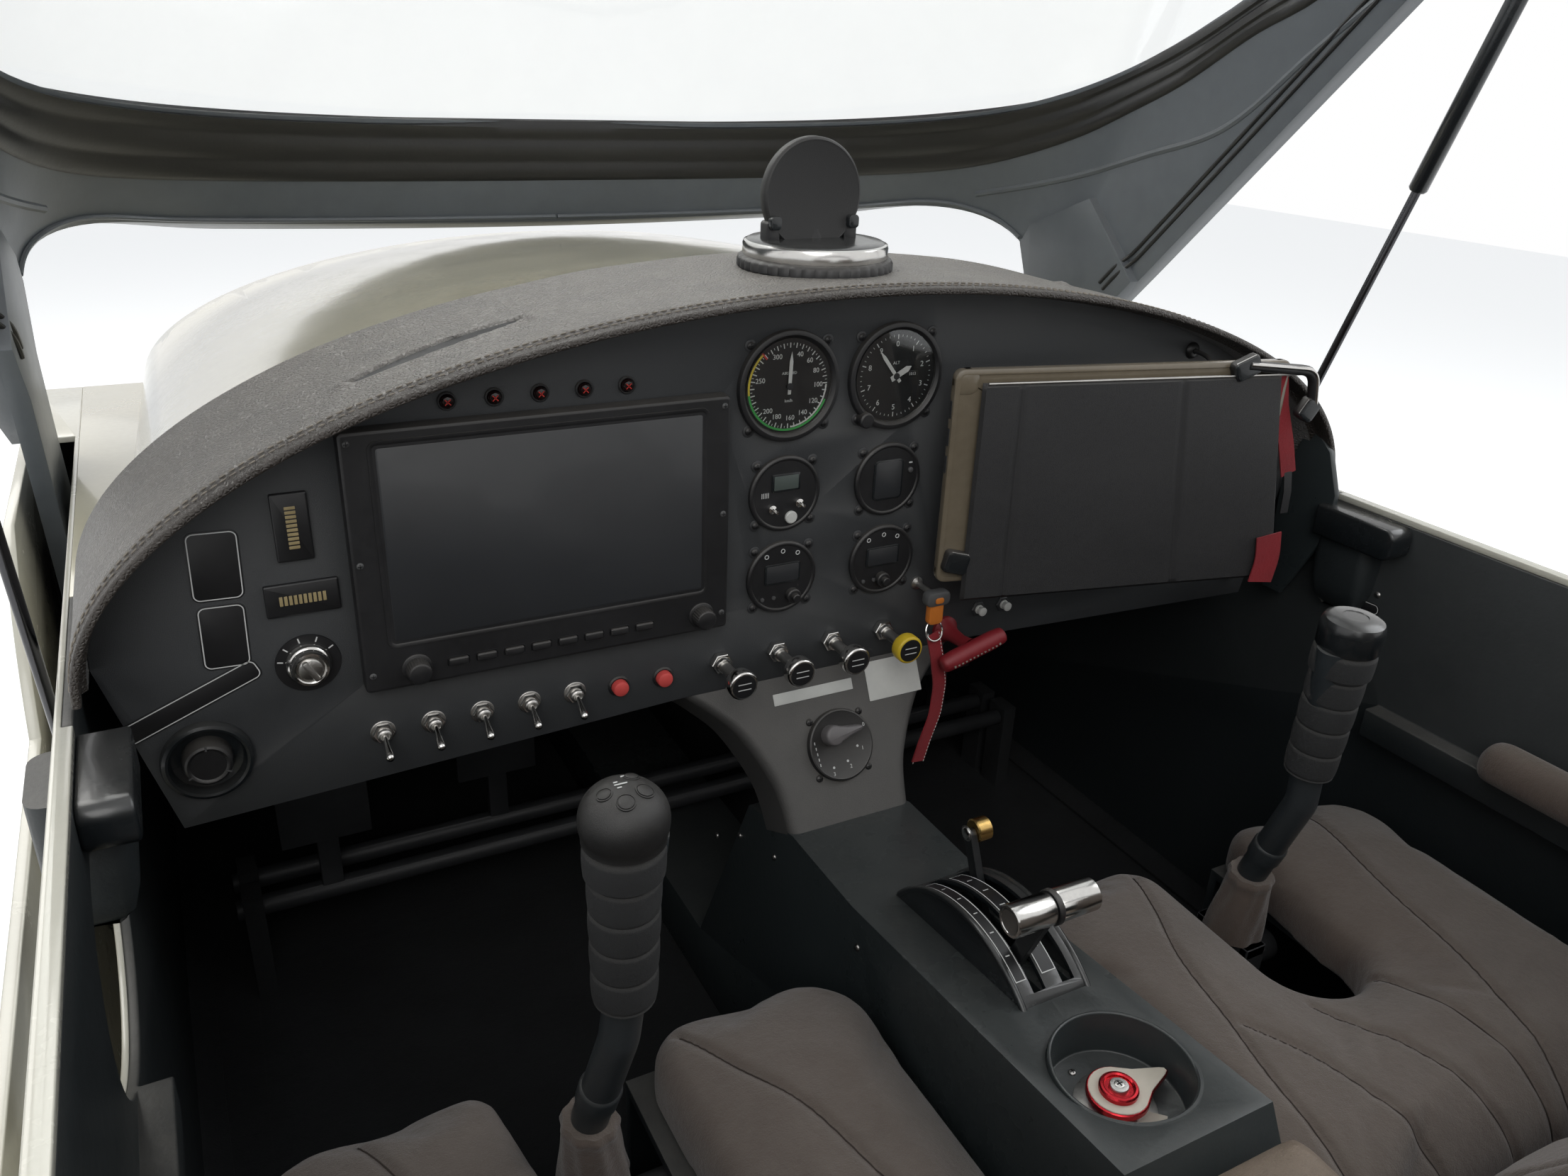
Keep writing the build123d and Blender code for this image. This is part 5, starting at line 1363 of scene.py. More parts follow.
def makeTrimBars():
    forms = []
    for x0, x1, z0, z1, upright in ((-404, -382, -82, -37, True), (-415, -370, -119, -97, False)):
        place = onPanel((x0 + x1) / 2, (z0 + z1) / 2)
        wide, high = x1 - x0, z1 - z0
        forms.append((layered(roundedBox(wide, high, 1.2), [(0, 0), (0, 2.2), (0.5, 2.8), (1.2, 3.0)]), place,
                      "plateBlack"))
        for k in range(10):
            shift = (k - 4.5) * 2.9
            spot = (0, shift, 3.0) if upright else (shift, 0, 3.0)
            size = (6.4, 2.0) if upright else (2.0, 6.4)
            forms.append((slab(size[0], size[1], 0.5, 0.3, 0.1), place @ Matrix.Translation(spot), "amberBar"))
    build("trimBars", forms, ("trim_indicators",))


def makeIgnition():
    x, z = panelSettings["key"]
    spot = onPanel(x, z)
    forms = [(lathe([(0, 0), (20.1, 0), (20.5, 0.4), (20.2, 1.2), (0, 1.2)], 56), spot, "plateBlack"),
             (lathe([(0, 1), (14.2, 1), (14.6, 1.6), (14.6, 3.2), (13.4, 5.6), (12.2, 6.4), (12.2, 10.6), (11.4, 11.8),
                     (9.8, 12.2), (8.6, 11.6), (8.2, 10.8), (0, 10.8)], 44), spot, "chrome"),
             (lathe([(0, 10), (7.4, 10), (7.4, 11.6), (6.6, 12.2), (0, 12.4)], 32), spot, "satinMetal"),
             (slab(2.4, 9, 0.6, 0.6, 0.2), spot @ moved(0, 0, 12.2) @ Matrix.Rotation(0.5, 4, "Z"), "dialBlack")]
    for angle in (-78, -48, -14, 22, 58):
        forms.append((tickForm(angle, 15.6, 19.2, 0.9, 1.3), spot, "whitePrint"))
    forms.append((slab(4, 16, 3.6, 1.6, 0.8), spot @ Matrix.Rotation(0.5, 4, "Z") @ moved(0, 0, 12.3),
                  "satinMetal"))
    build("ignitionKey", forms, ("ignition_switch",))


def makeVents():
    forms = []
    for x, z in panelSettings["vents"]:
        spot = onPanel(x, z)
        forms.append((lathe([(24, -40), (24, 0), (28, 0), (28, 3.4), (27, 5.4), (25, 6.2), (23.4, 5.6), (22.4, 3.6),
                             (21.4, -1), (15, -3)], 48), spot, "capGloss"))
        forms.append((lathe([(15.5, -3), (15, 2), (14.8, 7), (14, 9), (12.6, 9.8), (11.4, 9.4), (10.8, 8.6), (0, 8.4)],
                            40), spot, "blackPlastic"))
        for k in range(3):
            forms.append((tickForm(0, 11, 14.6, 1.2, 9.9), spot @ Matrix.Rotation(2.1 * k, 4, "Z"), "greyPlastic"))
    build("ventNozzles", forms, ("air_vents",))


makeDisplay()
makeLenses()
makeSwitches()
makeFittings()
makeKnobs()
makeTrimBars()
makeIgnition()
makeVents()
print("stage: panel fittings")


# pedestal with the flap selector
pedestalSettings = {
    "top": (0, 0, -243), "foot": (0, -59, -357), "outline": [(0, 126), (0.12, 108), (0.32, 85), (0.68, 63), (1, 57)],
    "deep": 50, "wall": 5, "round": 9, "share": 0.51,
    "dialR": 30, "pivot": (-9, 10), "stops": (4, -31, -64, -94), "reach": 27, "screwReach": 23.55,
    "labels": [(-15, 0.14, 74, 9.5), (62, 0.155, 52, 33)],
}


def pedestalPlace(x, share, lift=0.0):    # on the sloping face, third axis out of it
    s = pedestalSettings
    middle = Vector(s["top"]).lerp(Vector(s["foot"]), share)
    place = at(x, middle.y, middle.z, (1, 0, 0), Vector(s["top"]) - Vector(s["foot"]))
    return place @ moved(0, 0, lift)


def makePedestal():
    s = pedestalSettings
    rows = []
    for share, half in lineThrough(s["outline"], 41):
        place, r = pedestalPlace(0, share), s["round"]
        outer = [(-half, -s["deep"])]
        outer += [(-half + r - r * cos(a), -r + r * sin(a)) for a in [radians(15 * k) for k in range(7)]]
        outer += [(half * k / 8, -0.5 * (1 - (k / 8) ** 2) + 0.4) for k in range(-6, 7)]
        outer += [(half - r + r * sin(a), -r + r * cos(a)) for a in [radians(15 * k) for k in range(7)]]
        outer += [(half, -s["deep"])]
        inner = [(x * (half - s["wall"]) / half, y - (s["wall"] if y > -s["deep"] + 1 else 0))
                 for x, y in reversed(outer)]
        rows.append([place @ Vector((x, 0, y)) for x, y in outer + inner])
    form = capped(gridForm(rows, closedColumns=True), len(rows[0]))
    build("pedestalCowl", [(form, here, "pedestalCoat")], ("pedestal",))


def teardrop(r, long, tip, turn):    # a knob's outline: a round end and a narrowing pointer
    points = [polar(r, a) for a in range(50, 311, 13)]
    points += [(long * 0.5, -r * 0.5), (long - tip, -tip), (long, -tip * 0.4), (long, tip * 0.4), (long - tip, tip),
               (long * 0.5, r * 0.5)]
    c, n = polar(1, turn)
    return [(x * c - y * n, x * n + y * c) for x, y in points]


def makeFlapSelector():
    s = pedestalSettings
    place, r = pedestalPlace(0, s["share"]), s["dialR"]
    pivot = place @ moved(*s["pivot"], 4.6)
    forms = [(lathe([(r, -0.4), (r, 3.6), (r - 0.6, 4.6), (r - 1.8, 5.0), (r - 2.6, 4.6), (0, 4.6)], 60), place,
              "blackPlastic")]
    knob = teardrop(8.6, 27, 2.4, s["stops"][0])
    forms.append((layered(knob, [(0, 0), (0, 9), (0.6, 10.4), (2.0, 11.2)]), pivot, "greyKnob"))
    for number, turn in enumerate(s["stops"]):
        c, n = polar(1, turn)
        forms.append((lathe([(1.1, 0), (1.1, 0.25), (0, 0.3)], 12), pivot @ moved(c * s["reach"], n * s["reach"], 0),
                      "whitePrint"))
        spot = pivot @ moved(c * (s["reach"] + 5.4), n * (s["reach"] + 5.4), 0.1)
        forms.append((lettering(str(number), 4.6), spot, "whitePrint"))
    for k in range(5):    # marks where the name would be
        forms.append((slab(0.8, 2.4, 0.2, 0.2, 0.05), place @ moved(-24.5 + 0.5 * k, 6 - 4.6 * k, 4.6),
                      "whitePrint"))
    build("flapDial", forms, ("flap_selector",))
    facing = place.to_3x3() @ Vector((0, 0, 1))
    spots = [(place @ Vector((i * s["screwReach"], j * s["screwReach"], 0)), facing) for i in (-1, 1) for j in (-1, 1)]
    fasteners("flapScrews", spots, 3.2, 2.0, "blackPlastic")
    labels = [(slab(wide, high, 0.5, 0.6, 0.12), pedestalPlace(x, share, 0.1), "plateWhite")
              for x, share, wide, high in s["labels"]]
    build("blankLabels", labels)


# console: quadrant strips, levers and the fuel selector
consoleSettings = {
    "pivot": (-240, -416), "drumR": 102, "left": -20, "right": 36, "strips": [(-16.5, -8.5), (5, 16)], "arc": (-32, 31),
    "throttle": (-2, 160, -22, 6), "choke": (22, 134, 25, 5),
    "valveY": -378, "cupR": 43, "cupTop": -334, "cupFloor": -361.9, "knobZ": -355.7,
    "screws": [(-57, -166, -387), (-57, -30, -398), (-57, 36, -420), (-57, 84, -452)],
}


def drumPoint(x, angle, lift=0.0):    # on the quadrant's drum, angle forwards from the top
    y0, z0 = consoleSettings["pivot"]
    r, a = consoleSettings["drumR"] + lift, radians(angle)
    return Vector((x, y0 + r * sin(a), z0 + r * cos(a)))


def drumLine(x, first, last, lift):
    return [drumPoint(x, first + (last - first) * k / 30, lift) for k in range(31)]


def makeQuadrant():
    s = consoleSettings
    first, last = s["arc"]
    forms = []
    for x0, x1 in s["strips"]:
        plate = [[a, b] for a, b in zip(drumLine(x0, first, last, 0.25), drumLine(x1, first, last, 0.25))]
        forms.append((gridForm(plate), here, "plateBlack"))
        for x, wide in ((x0, 0.35), (x1, 0.35)):
            line = [[a, b] for a, b in zip(drumLine(x - wide, first, last, 0.4), drumLine(x + wide, first, last, 0.4))]
            forms.append((gridForm(line), here, "whitePrint"))
        for angle in (first, last):
            end = [[drumPoint(x0 - 0.35, a, 0.4), drumPoint(x1 + 0.35, a, 0.4)] for a in (angle - 0.2, angle + 0.2)]
            forms.append((gridForm(end), here, "whitePrint"))
        middle, reach = (x0 + x1) / 2, (x1 - x0) / 5
        for k in range(5):    # plain graduations
            angle = first + (last - first) * (0.16 + 0.17 * k)
            tick = [[drumPoint(middle - reach, a, 0.4), drumPoint(middle + reach, a, 0.4)]
                    for a in (angle - 0.25, angle + 0.25)]
            forms.append((gridForm(tick), here, "whitePrint"))
    for x in (s["left"] + 1.2, s["right"] - 1.2):    # rounded shoulders of the drum
        forms.append((pipe(drumLine(x, -66, 52, -1.2), 2.6, 10), here, "capGloss"))
    build("quadrantStrips", forms)


def leverPlace(x, lean):    # at the axle, second axis up the lever, third axis to the right
    (y0, z0), a = consoleSettings["pivot"], radians(lean)
    return at(x, y0, z0, (0, cos(a), -sin(a)), (0, sin(a), cos(a)))


def leverBlade(x, long, lean, wide):
    outline = [(-wide, 0), (wide, 0), (wide, long - 2)]
    outline += [(wide * cos(radians(a)), long - 2 + wide * sin(radians(a))) for a in range(15, 180, 15)]
    outline += [(-wide, long - 2)]
    place = leverPlace(x, lean) @ moved(0, 0, -3)
    hub = lathe([(4.4, 0), (11.4, 0), (12, 0.6), (12, 5.4), (11.4, 6), (4.4, 6), (4.4, 0)], 32)
    return [(layered(outline, [(0.5, 0), (0, 0.5), (0, 5.5), (0.5, 6)]), place, "leverBlack"),
            (hub, place, "leverBlack")]


def makeLevers():
    s = consoleSettings
    x, long, lean, _ = s["throttle"]
    tip = leverPlace(x, lean) @ moved(0, long, 0)
    barrel = [(0, 0), (8.2, 0), (8.6, -0.5), (10.2, -0.5), (11, 0.4), (11, 29.6), (10.4, 30.4), (7, 30.6)]
    ring = lathe([(7, -2), (11.4, -2), (11.9, -1.4), (11.9, 1.6), (11.4, 2.2), (7, 2.2)], 44)
    forms = leverBlade(*s["throttle"])
    forms.append((lathe(barrel, 48), tip @ moved(0, 0, -33), "chrome"))
    forms.append((lathe([(7, 0), (10.4, 0.2), (11, 1), (11, 30), (10.2, 31), (8.6, 31), (8.2, 30.4), (0, 30.4)], 48),
                  tip @ moved(0, 0, 2), "chrome"))
    forms.append((ring, tip, "blackPlastic"))
    forms.append((lathe([(7.9, -0.7), (0, -0.75)], 40), tip @ moved(0, 0, -32.6), "satinMetal"))
    build("throttleHandle", forms, ("throttle_lever",), "throttle")
    x, long, lean, _ = s["choke"]
    tip = leverPlace(x, lean) @ moved(0, long, 0)
    forms = leverBlade(*s["choke"])
    forms.append((lathe([(0, 3), (8, 3), (9, 3.8), (9, 14.2), (8.2, 15), (5, 15), (4.6, 14.4), (0, 14.4)], 40), tip,
                  "goldMetal"))
    forms.append((lathe([(0, -4.2), (3.4, -4.2), (4.6, -3.8), (5, -3.2), (5, -2.8)], 24), tip, "chrome"))
    forms.append((lathe([(6, -3), (6, -3.3), (0, -3.3)], 24), tip, "satinMetal"))
    build("chokeHandle", forms, ("choke_lever",), "choke")


def makeFuelSelector():
    s = consoleSettings
    place = at(0, s["valveY"], s["knobZ"], (1, 0, 0), (0, 1, 0))
    arm = teardrop(19.5, 40, 3.4, 0)
    forms = [(layered(arm, [(0.8, 0.6), (0, 1.2), (0, 4.4), (0.7, 5.0)]), place, "redAnodised"),
             (layered(teardrop(18.4, 38.8, 3.0, 0), [(0, 5.0), (0.2, 5.5), (0.8, 5.6)]), place, "cream"),
             (lathe([(12.2, 5.4), (12.2, 8.2), (11.4, 9.2), (10, 9.4), (9, 8.6), (8.8, 7.6), (0, 7.6)], 44), place,
              "redAnodised"),
             (lathe([(6.2, 7.4), (6.2, 9.4), (5.6, 10.2), (4.6, 10.4), (0, 10.6)], 32), place, "satinMetal"),
             (lathe([(9, 0.6), (9, -5.2), (0, -5.2)], 28), place, "satinMetal")]
    build("fuelKnob", forms, ("fuel_selector",), "fuel_selector")
    up = (0, 0, 1)
    fasteners("fuelKnobScrew", [((0, s["valveY"], s["knobZ"] + 10.4), up)], 3.4, 0.8, "satinMetal", "fuel_selector")
    floor = at(0, s["valveY"], s["cupFloor"], (1, 0, 0), (0, 1, 0))
    sector = [[Vector((*polar(r, a), 0.7)) for r in (17, 31)]
              for a in range(196, 318, 6)]
    rimZ = s["cupTop"] - s["cupFloor"]
    rim = [[floor @ Vector((u, v, rimZ + h - 0.134 * v)) for u, v in (polar(r, a) for a in range(0, 360, 6))]
           for r, h in ((s["cupR"] + 0.2, -2), (s["cupR"] + 0.2, 0.6), (s["cupR"] + 1.4, 1.8), (s["cupR"] + 3.2, 1.6),
                        (s["cupR"] + 4.6, 0.2))]
    build("valveTray", [(gridForm(sector), floor, "cream"), (gridForm(rim, closedColumns=True), here,
                                                              "consoleCoat"),
                        (lathe([(0, 0.4), (25, 0.4), (25.6, 0), (25.6, -1)], 44), floor, "satinMetal")])
    spots = [((x, s["valveY"] + y, s["cupFloor"] + 0.4), up) for x, y in ((-29, -12), (10, -30), (-8, 31))]
    fasteners("traySizeScrews", spots, 2.6, 1.1, "satinMetal")


makePedestal()
makeFlapSelector()
makeQuadrant()
makeLevers()
makeFuelSelector()
for name, side in (("consoleScrews", -1), ("consoleScrewsRight", 1)):
    spots = [((side * (0.1 - x), y, z), (side, 0, 0)) for x, y, z in consoleSettings["screws"]]
    fasteners(name, spots, 3.0, 1.6, "satinMetal")
print("stage: pedestal and console")


# control sticks: steel tubes in suede boots, ribbed foam grips and moulded heads
stickSettings = {
    "route": [(285, -225, -452), (288, -229, -385), (279, -262, -292), (263, -268, -152)], "tubeR": 12, "bend": 34,
    "pivot": (285, -225, -480), "gripLow": -262, "gripHigh": -152, "gripR": (18.2, 20.4), "headR": 24, "ribs": 5,
    "bootLow": -446, "bootHigh": -384, "bootR": (24, 16.5),
}


def stickPoint(z):    # on the axis of the upper run
    low, high = (Vector(p) for p in stickSettings["route"][2:])
    return low.lerp(high, (z - low.z) / (high.z - low.z))


def mirroredForms(forms, side):
    return forms if side > 0 else [(form, Matrix.Scale(-1, 4, (1, 0, 0)) @ place, material)
                                   for form, place, material in forms]


def makeStick(side):
    s = stickSettings
    name = "Right" if side > 0 else "Left"
    x0, y0, z0 = s["pivot"]
    route = rounded(s["route"], s["bend"])
    forms = [(pipe(route, s["tubeR"], 24), here, "stickPaint")]
    low = Vector(s["route"][1]).lerp(Vector(s["route"][2]), 0.34)
    way = (Vector(s["route"][2]) - Vector(s["route"][1])).normalized()
    collar = at(*low, way.orthogonal(), way.cross(way.orthogonal()))
    forms.append((lathe([(12, -9), (13.4, -8), (13.6, 6), (13, 8), (12, 9)], 30), collar, "stickPaint"))
    for y in (-24, 24):    # fork at the roll pin
        ear = [(-11, -11), (11, -11), (11, 34), (-11, 34)]
        forms.append((layered(ear, [(0.6, 0), (0, 0.6), (0, 7.4), (0.6, 8)]),
                      at(x0, y0 + y + 4, z0, (1, 0, 0), (0, 0, 1)), "darkSteel"))
    forms.append((slab(22, 56, 10, 1.5, 0.8), at(x0, y0, z0 + 24, (1, 0, 0), (0, 1, 0)), "darkSteel"))
    rows = []
    for k in range(30):    # a soft boot with a hem, gathered round the tube
        t = k / 29
        middle = Vector(s["route"][0]).lerp(Vector(s["route"][1]), min(1.0, t * 1.1))
        line = []
        for j in range(56):
            a = 2 * pi * j / 56
            r = s["bootR"][0] + (s["bootR"][1] - s["bootR"][0]) * t + 1.3 * sin(5 * a + 3.2 * t) * (1 - t)
            r += 0.7 * sin(9 * a - 4 * t)
            r += 1.6 * exp(-((t - 0.93) / 0.05) ** 2)
            line.append(middle.xy.to_3d() + Vector((r * cos(a), r * sin(a),
                                                     s["bootLow"] + (s["bootHigh"] - s["bootLow"]) * t
                                                     + 2.4 * t * sin(a + 0.6))))
        rows.append(line)
    forms.append((capped(gridForm(rows, closedColumns=True), 56), here, "suede"))
    build("stick" + name, mirroredForms(forms, side), ("stick_" + name.lower(),),
          "stick_" + name.lower())
    makeGrip(side, name)


def makeGrip(side, name):
    s = stickSettings
    low, high = s["gripR"]
    steps, long = 130, s["gripHigh"] - s["gripLow"]
    profile = [(12.2, 0), (low - 2, 0), (low - 0.4, 1.2)]
    for k in range(steps + 1):    # soft ribs with narrow grooves between them, and a collar on top
        t = k / steps
        within = (t * s["ribs"]) % 1.0
        edge = min(within, 1 - within)
        wide = low + (high - low) * t + 0.5 * sin(pi * within) - 0.9 * exp(-(edge / 0.05) ** 2)
        profile.append((wide + (1.6 if t > 1 - 1 / s["ribs"] + 0.03 else 0.0), 2.4 + (long - 5) * t))
    profile += [(high - 1, long - 1), (12.2, long - 1)]
    foot, top = stickPoint(s["gripLow"]), stickPoint(s["gripHigh"])
    way = (top - foot).normalized()
    place = at(*foot, Vector((1, 0, 0)), way.cross(Vector((1, 0, 0))))
    crown = place @ moved(0, 0, long)
    forms = [(lathe(profile, 40), place, "gripFoam")]
    if side > 0:    # flat cap
        forms.append((lathe([(18, -1), (21.4, -1), (22, 0), (22.4, 14), (22, 18), (20.4, 21.4), (16.4, 23.4), (9, 24),
                             (8.6, 23.5), (0, 23.7)], 48), crown, "capGloss"))
    else:    # domed head with a ring of keys and plain marks
        r = s["headR"]
        dome = [(18, -1), (20.6, -0.6), (22.6, 0.6)]
        for a in range(-24, 91, 6):
            dome.append((r * cos(radians(a)) ** 0.8, 13 + (r - 4 if a > 0 else r) * sin(radians(a))))
        forms.append((lathe(dome[:-1] + [(0, 9 + r)], 56), crown, "headPlastic"))
        for u, v, q in ((-9, -6, 4.6), (3, -11, 4.6), (11, -1, 4.0), (-7, 8, 4.0)):
            high = 13 + (r - 4) * sqrt(max(0, 1 - (hypot(u, v) / r) ** 2.5))
            tilt = aimed((u * 0.028, v * 0.028, 1))
            forms.append((lathe([(q + 0.5, -1.4), (q + 0.5, 0.1), (q, 0.3), (q, -0.1), (q - 0.5, -0.1), (q - 0.5, 0.5),
                                 (q - 1.1, 0.9), (0, 1.0)], 26), crown @ moved(u, v, high) @ tilt,
                          "headPlastic"))
        for u, v, wide in ((1, 2, 7), (3, 4.5, 2.4), (2.6, -0.6, 2.4), (-2.4, 9, 2)):
            high = 13.1 + (r - 4) * sqrt(max(0, 1 - (hypot(u, v) / r) ** 2.5))
            forms.append((slab(wide, 0.7, 0.5, 0.2, 0.05), crown @ moved(u, v, high), "whitePrint"))
    build("grip" + name, mirroredForms(forms, side), ("stick_grip_" + name.lower(),),
          "stick_" + name.lower())


makeStick(1)
makeStick(-1)
print("stage: sticks")


# what stands on the glareshield and hangs on the panel
phoneSettings = {"at": (4, 58), "foot": 73, "disc": (0, 126), "discFront": 66, "discR": 41}


def makePhoneMount():
    s = phoneSettings
    x, y = s["at"]
    place = at(x, y, s["foot"], (1, 0, 0), (0, 1, 0))
    ribs = []
    for k in range(160):
        a = 2 * pi * k / 160
        r = 59.4 if k % 4 < 3 else 58.2
        ribs.append((r * cos(a), r * sin(a)))
    forms = [(layered(ribs, [(1, 0.2), (0, 1.4), (0, 6.5), (1.2, 8.4), (3.2, 9.4)]), place, "blackPlastic"),
             (lathe([(55, 9), (55.4, 10), (55.4, 17.5), (54.6, 19.4), (52.8, 20.2)], 80), place, "chrome"),
             (lathe([(53, 20), (51, 21.2), (40, 21.8), (14, 22), (0, 22)], 64), place, "capGloss"),
             (pipe(rounded([(x, y + 6, 92), (x - 1, y + 8, 106), (x - 2, y + 8, 121)], 20), 9, 20), here,
              "blackPlastic")]
    disc = onPanel(*s["disc"], s["discFront"])
    r = s["discR"]
    forms.append((lathe([(0, 0), (r - 3, 0), (r - 0.6, 1), (r, 2.4), (r, 7.6), (r - 0.8, 9.2), (r - 2.2, 10),
                         (r - 3.4, 9.6), (0, 9.6)], 80), disc, "headPlastic"))
    forms.append((slab(46, 15, 14, 4, 1.5), onPanel(s["disc"][0], 93, 72), "blackPlastic"))
    for side in (-1, 1):    # folded phone rests
        forms.append((slab(11, 20, 12, 3, 1.2), onPanel(s["disc"][0] + side * 33, 98, 68), "blackPlastic"))
        forms.append((slab(9, 10, 7, 3, 1.2), onPanel(s["disc"][0] + side * 33, 107, 58), "capGloss"))
    build("phoneMount", forms, ("phone_mount",))


tabletSettings = {
    "middle": (246, -72, -92), "yaw": -12.5, "case": (296, 176, 9), "caseAt": (-22, 13), "cover": (298, 182, 6),
    "folds": (-112, 46), "foldWide": 2.2, "foldDeep": 1.3, "slant": 34,
    "clamps": [(80, 97, 24, 17, 24), (-156, -56, 21, 19, -14), (147, 60, 19, 16, 60)],
    "arm": [(80, -2, 99), (144, -2, 93), (151, 0, 62)],
    "ribbon": [(117, 3, 88), (124, 4, 62), (137, 4, 30), (147, 5, 2)],
    "patch": [(134, -4.2, -50), (137, -5, -72), (134, -5, -94)],
    "fin": [(-22, -76), (-50, -99), (-66, -137), (-66, -176), (-30, -252), (-8, -252), (-4, -140)], "finX": 506,
}


tabletWhole = moved(*tabletSettings["middle"]) @ spun(tabletSettings["yaw"])


def onTablet(x, z, y=0.0, turn=0.0):    # third axis towards the pilot
    return tabletWhole @ onPanel(x, z, y, turn)


def makeTabletCover():
    s = tabletSettings
    wide, high, deep = s["cover"]
    rows = []
    for i in range(121):
        u = -wide / 2 + wide * i / 120
        edgeX = min(1.0, (wide / 2 - abs(u)) / 3)
        fold = sum(exp(-((u - f) / s["foldWide"]) ** 2) for f in s["folds"])
        front, back = [], []
        for j in range(61):
            z = -high / 2 + high * j / 60
            x = u - s["slant"] * (u + wide / 2) / wide * (z + high / 2) / high    # the right edge leans inwards
            edge = min(edgeX, (high / 2 - abs(z)) / 3)
            bulge = sqrt(max(0.0, 1 - (1 - edge) ** 2))
            wave = 0.9 * noise.noise(Vector((x / 60, z / 70, 2.0)))
            front.append((x, -deep / 2 * bulge + (fold * s["foldDeep"] - wave) * bulge, z))
            back.append((x, deep / 2 * bulge, z))
        rows.append(front + back[::-1][1:-1])
    forms = [(gridForm(rows, closedColumns=True), tabletWhole, "folio")]
    edge = [(-wide / 2 + 4 + (wide - 6) * k / 30, -1.6, high / 2 - 0.4) for k in range(31)]
    forms.append((pipe(edge, 1.1, 8), tabletWhole, "satinMetal"))
    build("tabletCover", forms, ("tablet_cover",))


def makeTablet():
    s = tabletSettings
    wide, high, deep = s["case"]
    cx, cz = s["caseAt"]
    forms = [(layered(roundedBox(wide, high, 8), [(1.6, 0), (0.4, 0.8), (0, 2.4), (0, deep - 2.4), (0.4, deep - 0.8),
                                                  (1.8, deep), (4.2, deep), (4.8, deep - 1.2), (9, deep - 1.4)]),
              onTablet(cx, cz, 12), "bronzeCase")]
    for i in (-1, 1):    # thicker corners of the clear case
        for j in (-1, 1):
            forms.append((slab(20, 20, deep - 0.6, 7, 2), onTablet(cx + i * (wide / 2 - 10), cz + j * (high / 2 - 10),
                                                                   11.6), "bronzeCase"))
    for k in range(3):    # ports and keys on the left edge
        forms.append((slab(1.2, 14, 4, 0.5, 0.4), onTablet(cx - wide / 2 + 0.2, cz + 56 - 22 * k, 9.6), "darkSteel"))
    forms.append((slab(16, 12, 7, 1.5, 0.6), onTablet(90, 40, 19), "blackPlastic"))
    build("tabletBody", forms, ("tablet",))


def makeTabletMount():
    s = tabletSettings
    x, _, z = s["middle"]
    forms = [(slab(90, 60, 11, 6, 1.5), onTablet(-10, 6, 23), "blackPlastic"),
             (lathe([(0, -51.8), (13, -51.8), (13, -30), (11, -24), (11, -6), (17, -5), (17.6, -4), (17.6, 0)], 32),
              at(x - 4, 0, z + 6, (1, 0, 0), (0, 0, -1)), "blackPlastic")]
    for cx, cz, wide, high, turn in s["clamps"]:
        place = onTablet(cx, cz, 5, turn)
        forms.append((slab(wide, high, 9.5, 4, 2.2), place, "blackPlastic"))
        forms.append((layered(roundedBox(wide - 2, high - 2, 3.4), [(0, 9.0), (0.4, 10.0), (2.4, 10.4)]), place,
                      "capGloss"))
        forms.append((pipe([(-wide / 2 + 3, high / 2 - 1, 8), (wide / 2 - 3, high / 2 - 1, 8)], 0.8, 8), place,
                      "chrome"))
    arm = rounded(s["arm"], 16)
    forms.append((pipe(arm, 4.4, 14), tabletWhole, "blackPlastic"))
    forms.append((pipe([p + Vector((0.6, -3.4, 1.6)) for p in arm], 1.9, 8), tabletWhole, "chrome"))
    build("tabletClamps", forms, ("tablet_mount",))
    cloth = [(ribbon(rounded(s["ribbon"], 60, 5), 15, 1.2, (1, 0.1, 0)), tabletWhole, "ribbonRed"),
             (ribbon(rounded(s["patch"], 60, 5), 26, 1.2, (1, 0.1, 0)), tabletWhole, "ribbonRed"),
             (ribbon([(146, 5, 4), (150, 5, -14), (151, 5, -34)], 8, 1.4, (1, 0.1, 0)), tabletWhole, "blackPlastic")]
    build("tabletRibbon", cloth)
    build("sideFin", [(slab(1, 1, 7, 1, 1.5, outline=s["fin"]), at(s["finX"], 0, 0, (0, 1, 0), (0, 0, 1)),
                       "consoleCoat")])


hangingSettings = {
    "rescue": (118, -230), "barEnds": ((88, -42, -240), (148, -44, -221)),
    "tag": (84, -180), "strap": [(84, -31, -214), (89, -33, -236), (94, -34, -262), (93, -33, -292), (86, -31, -320),
                                 (82, -30, -339)], "strapWide": 14,
}


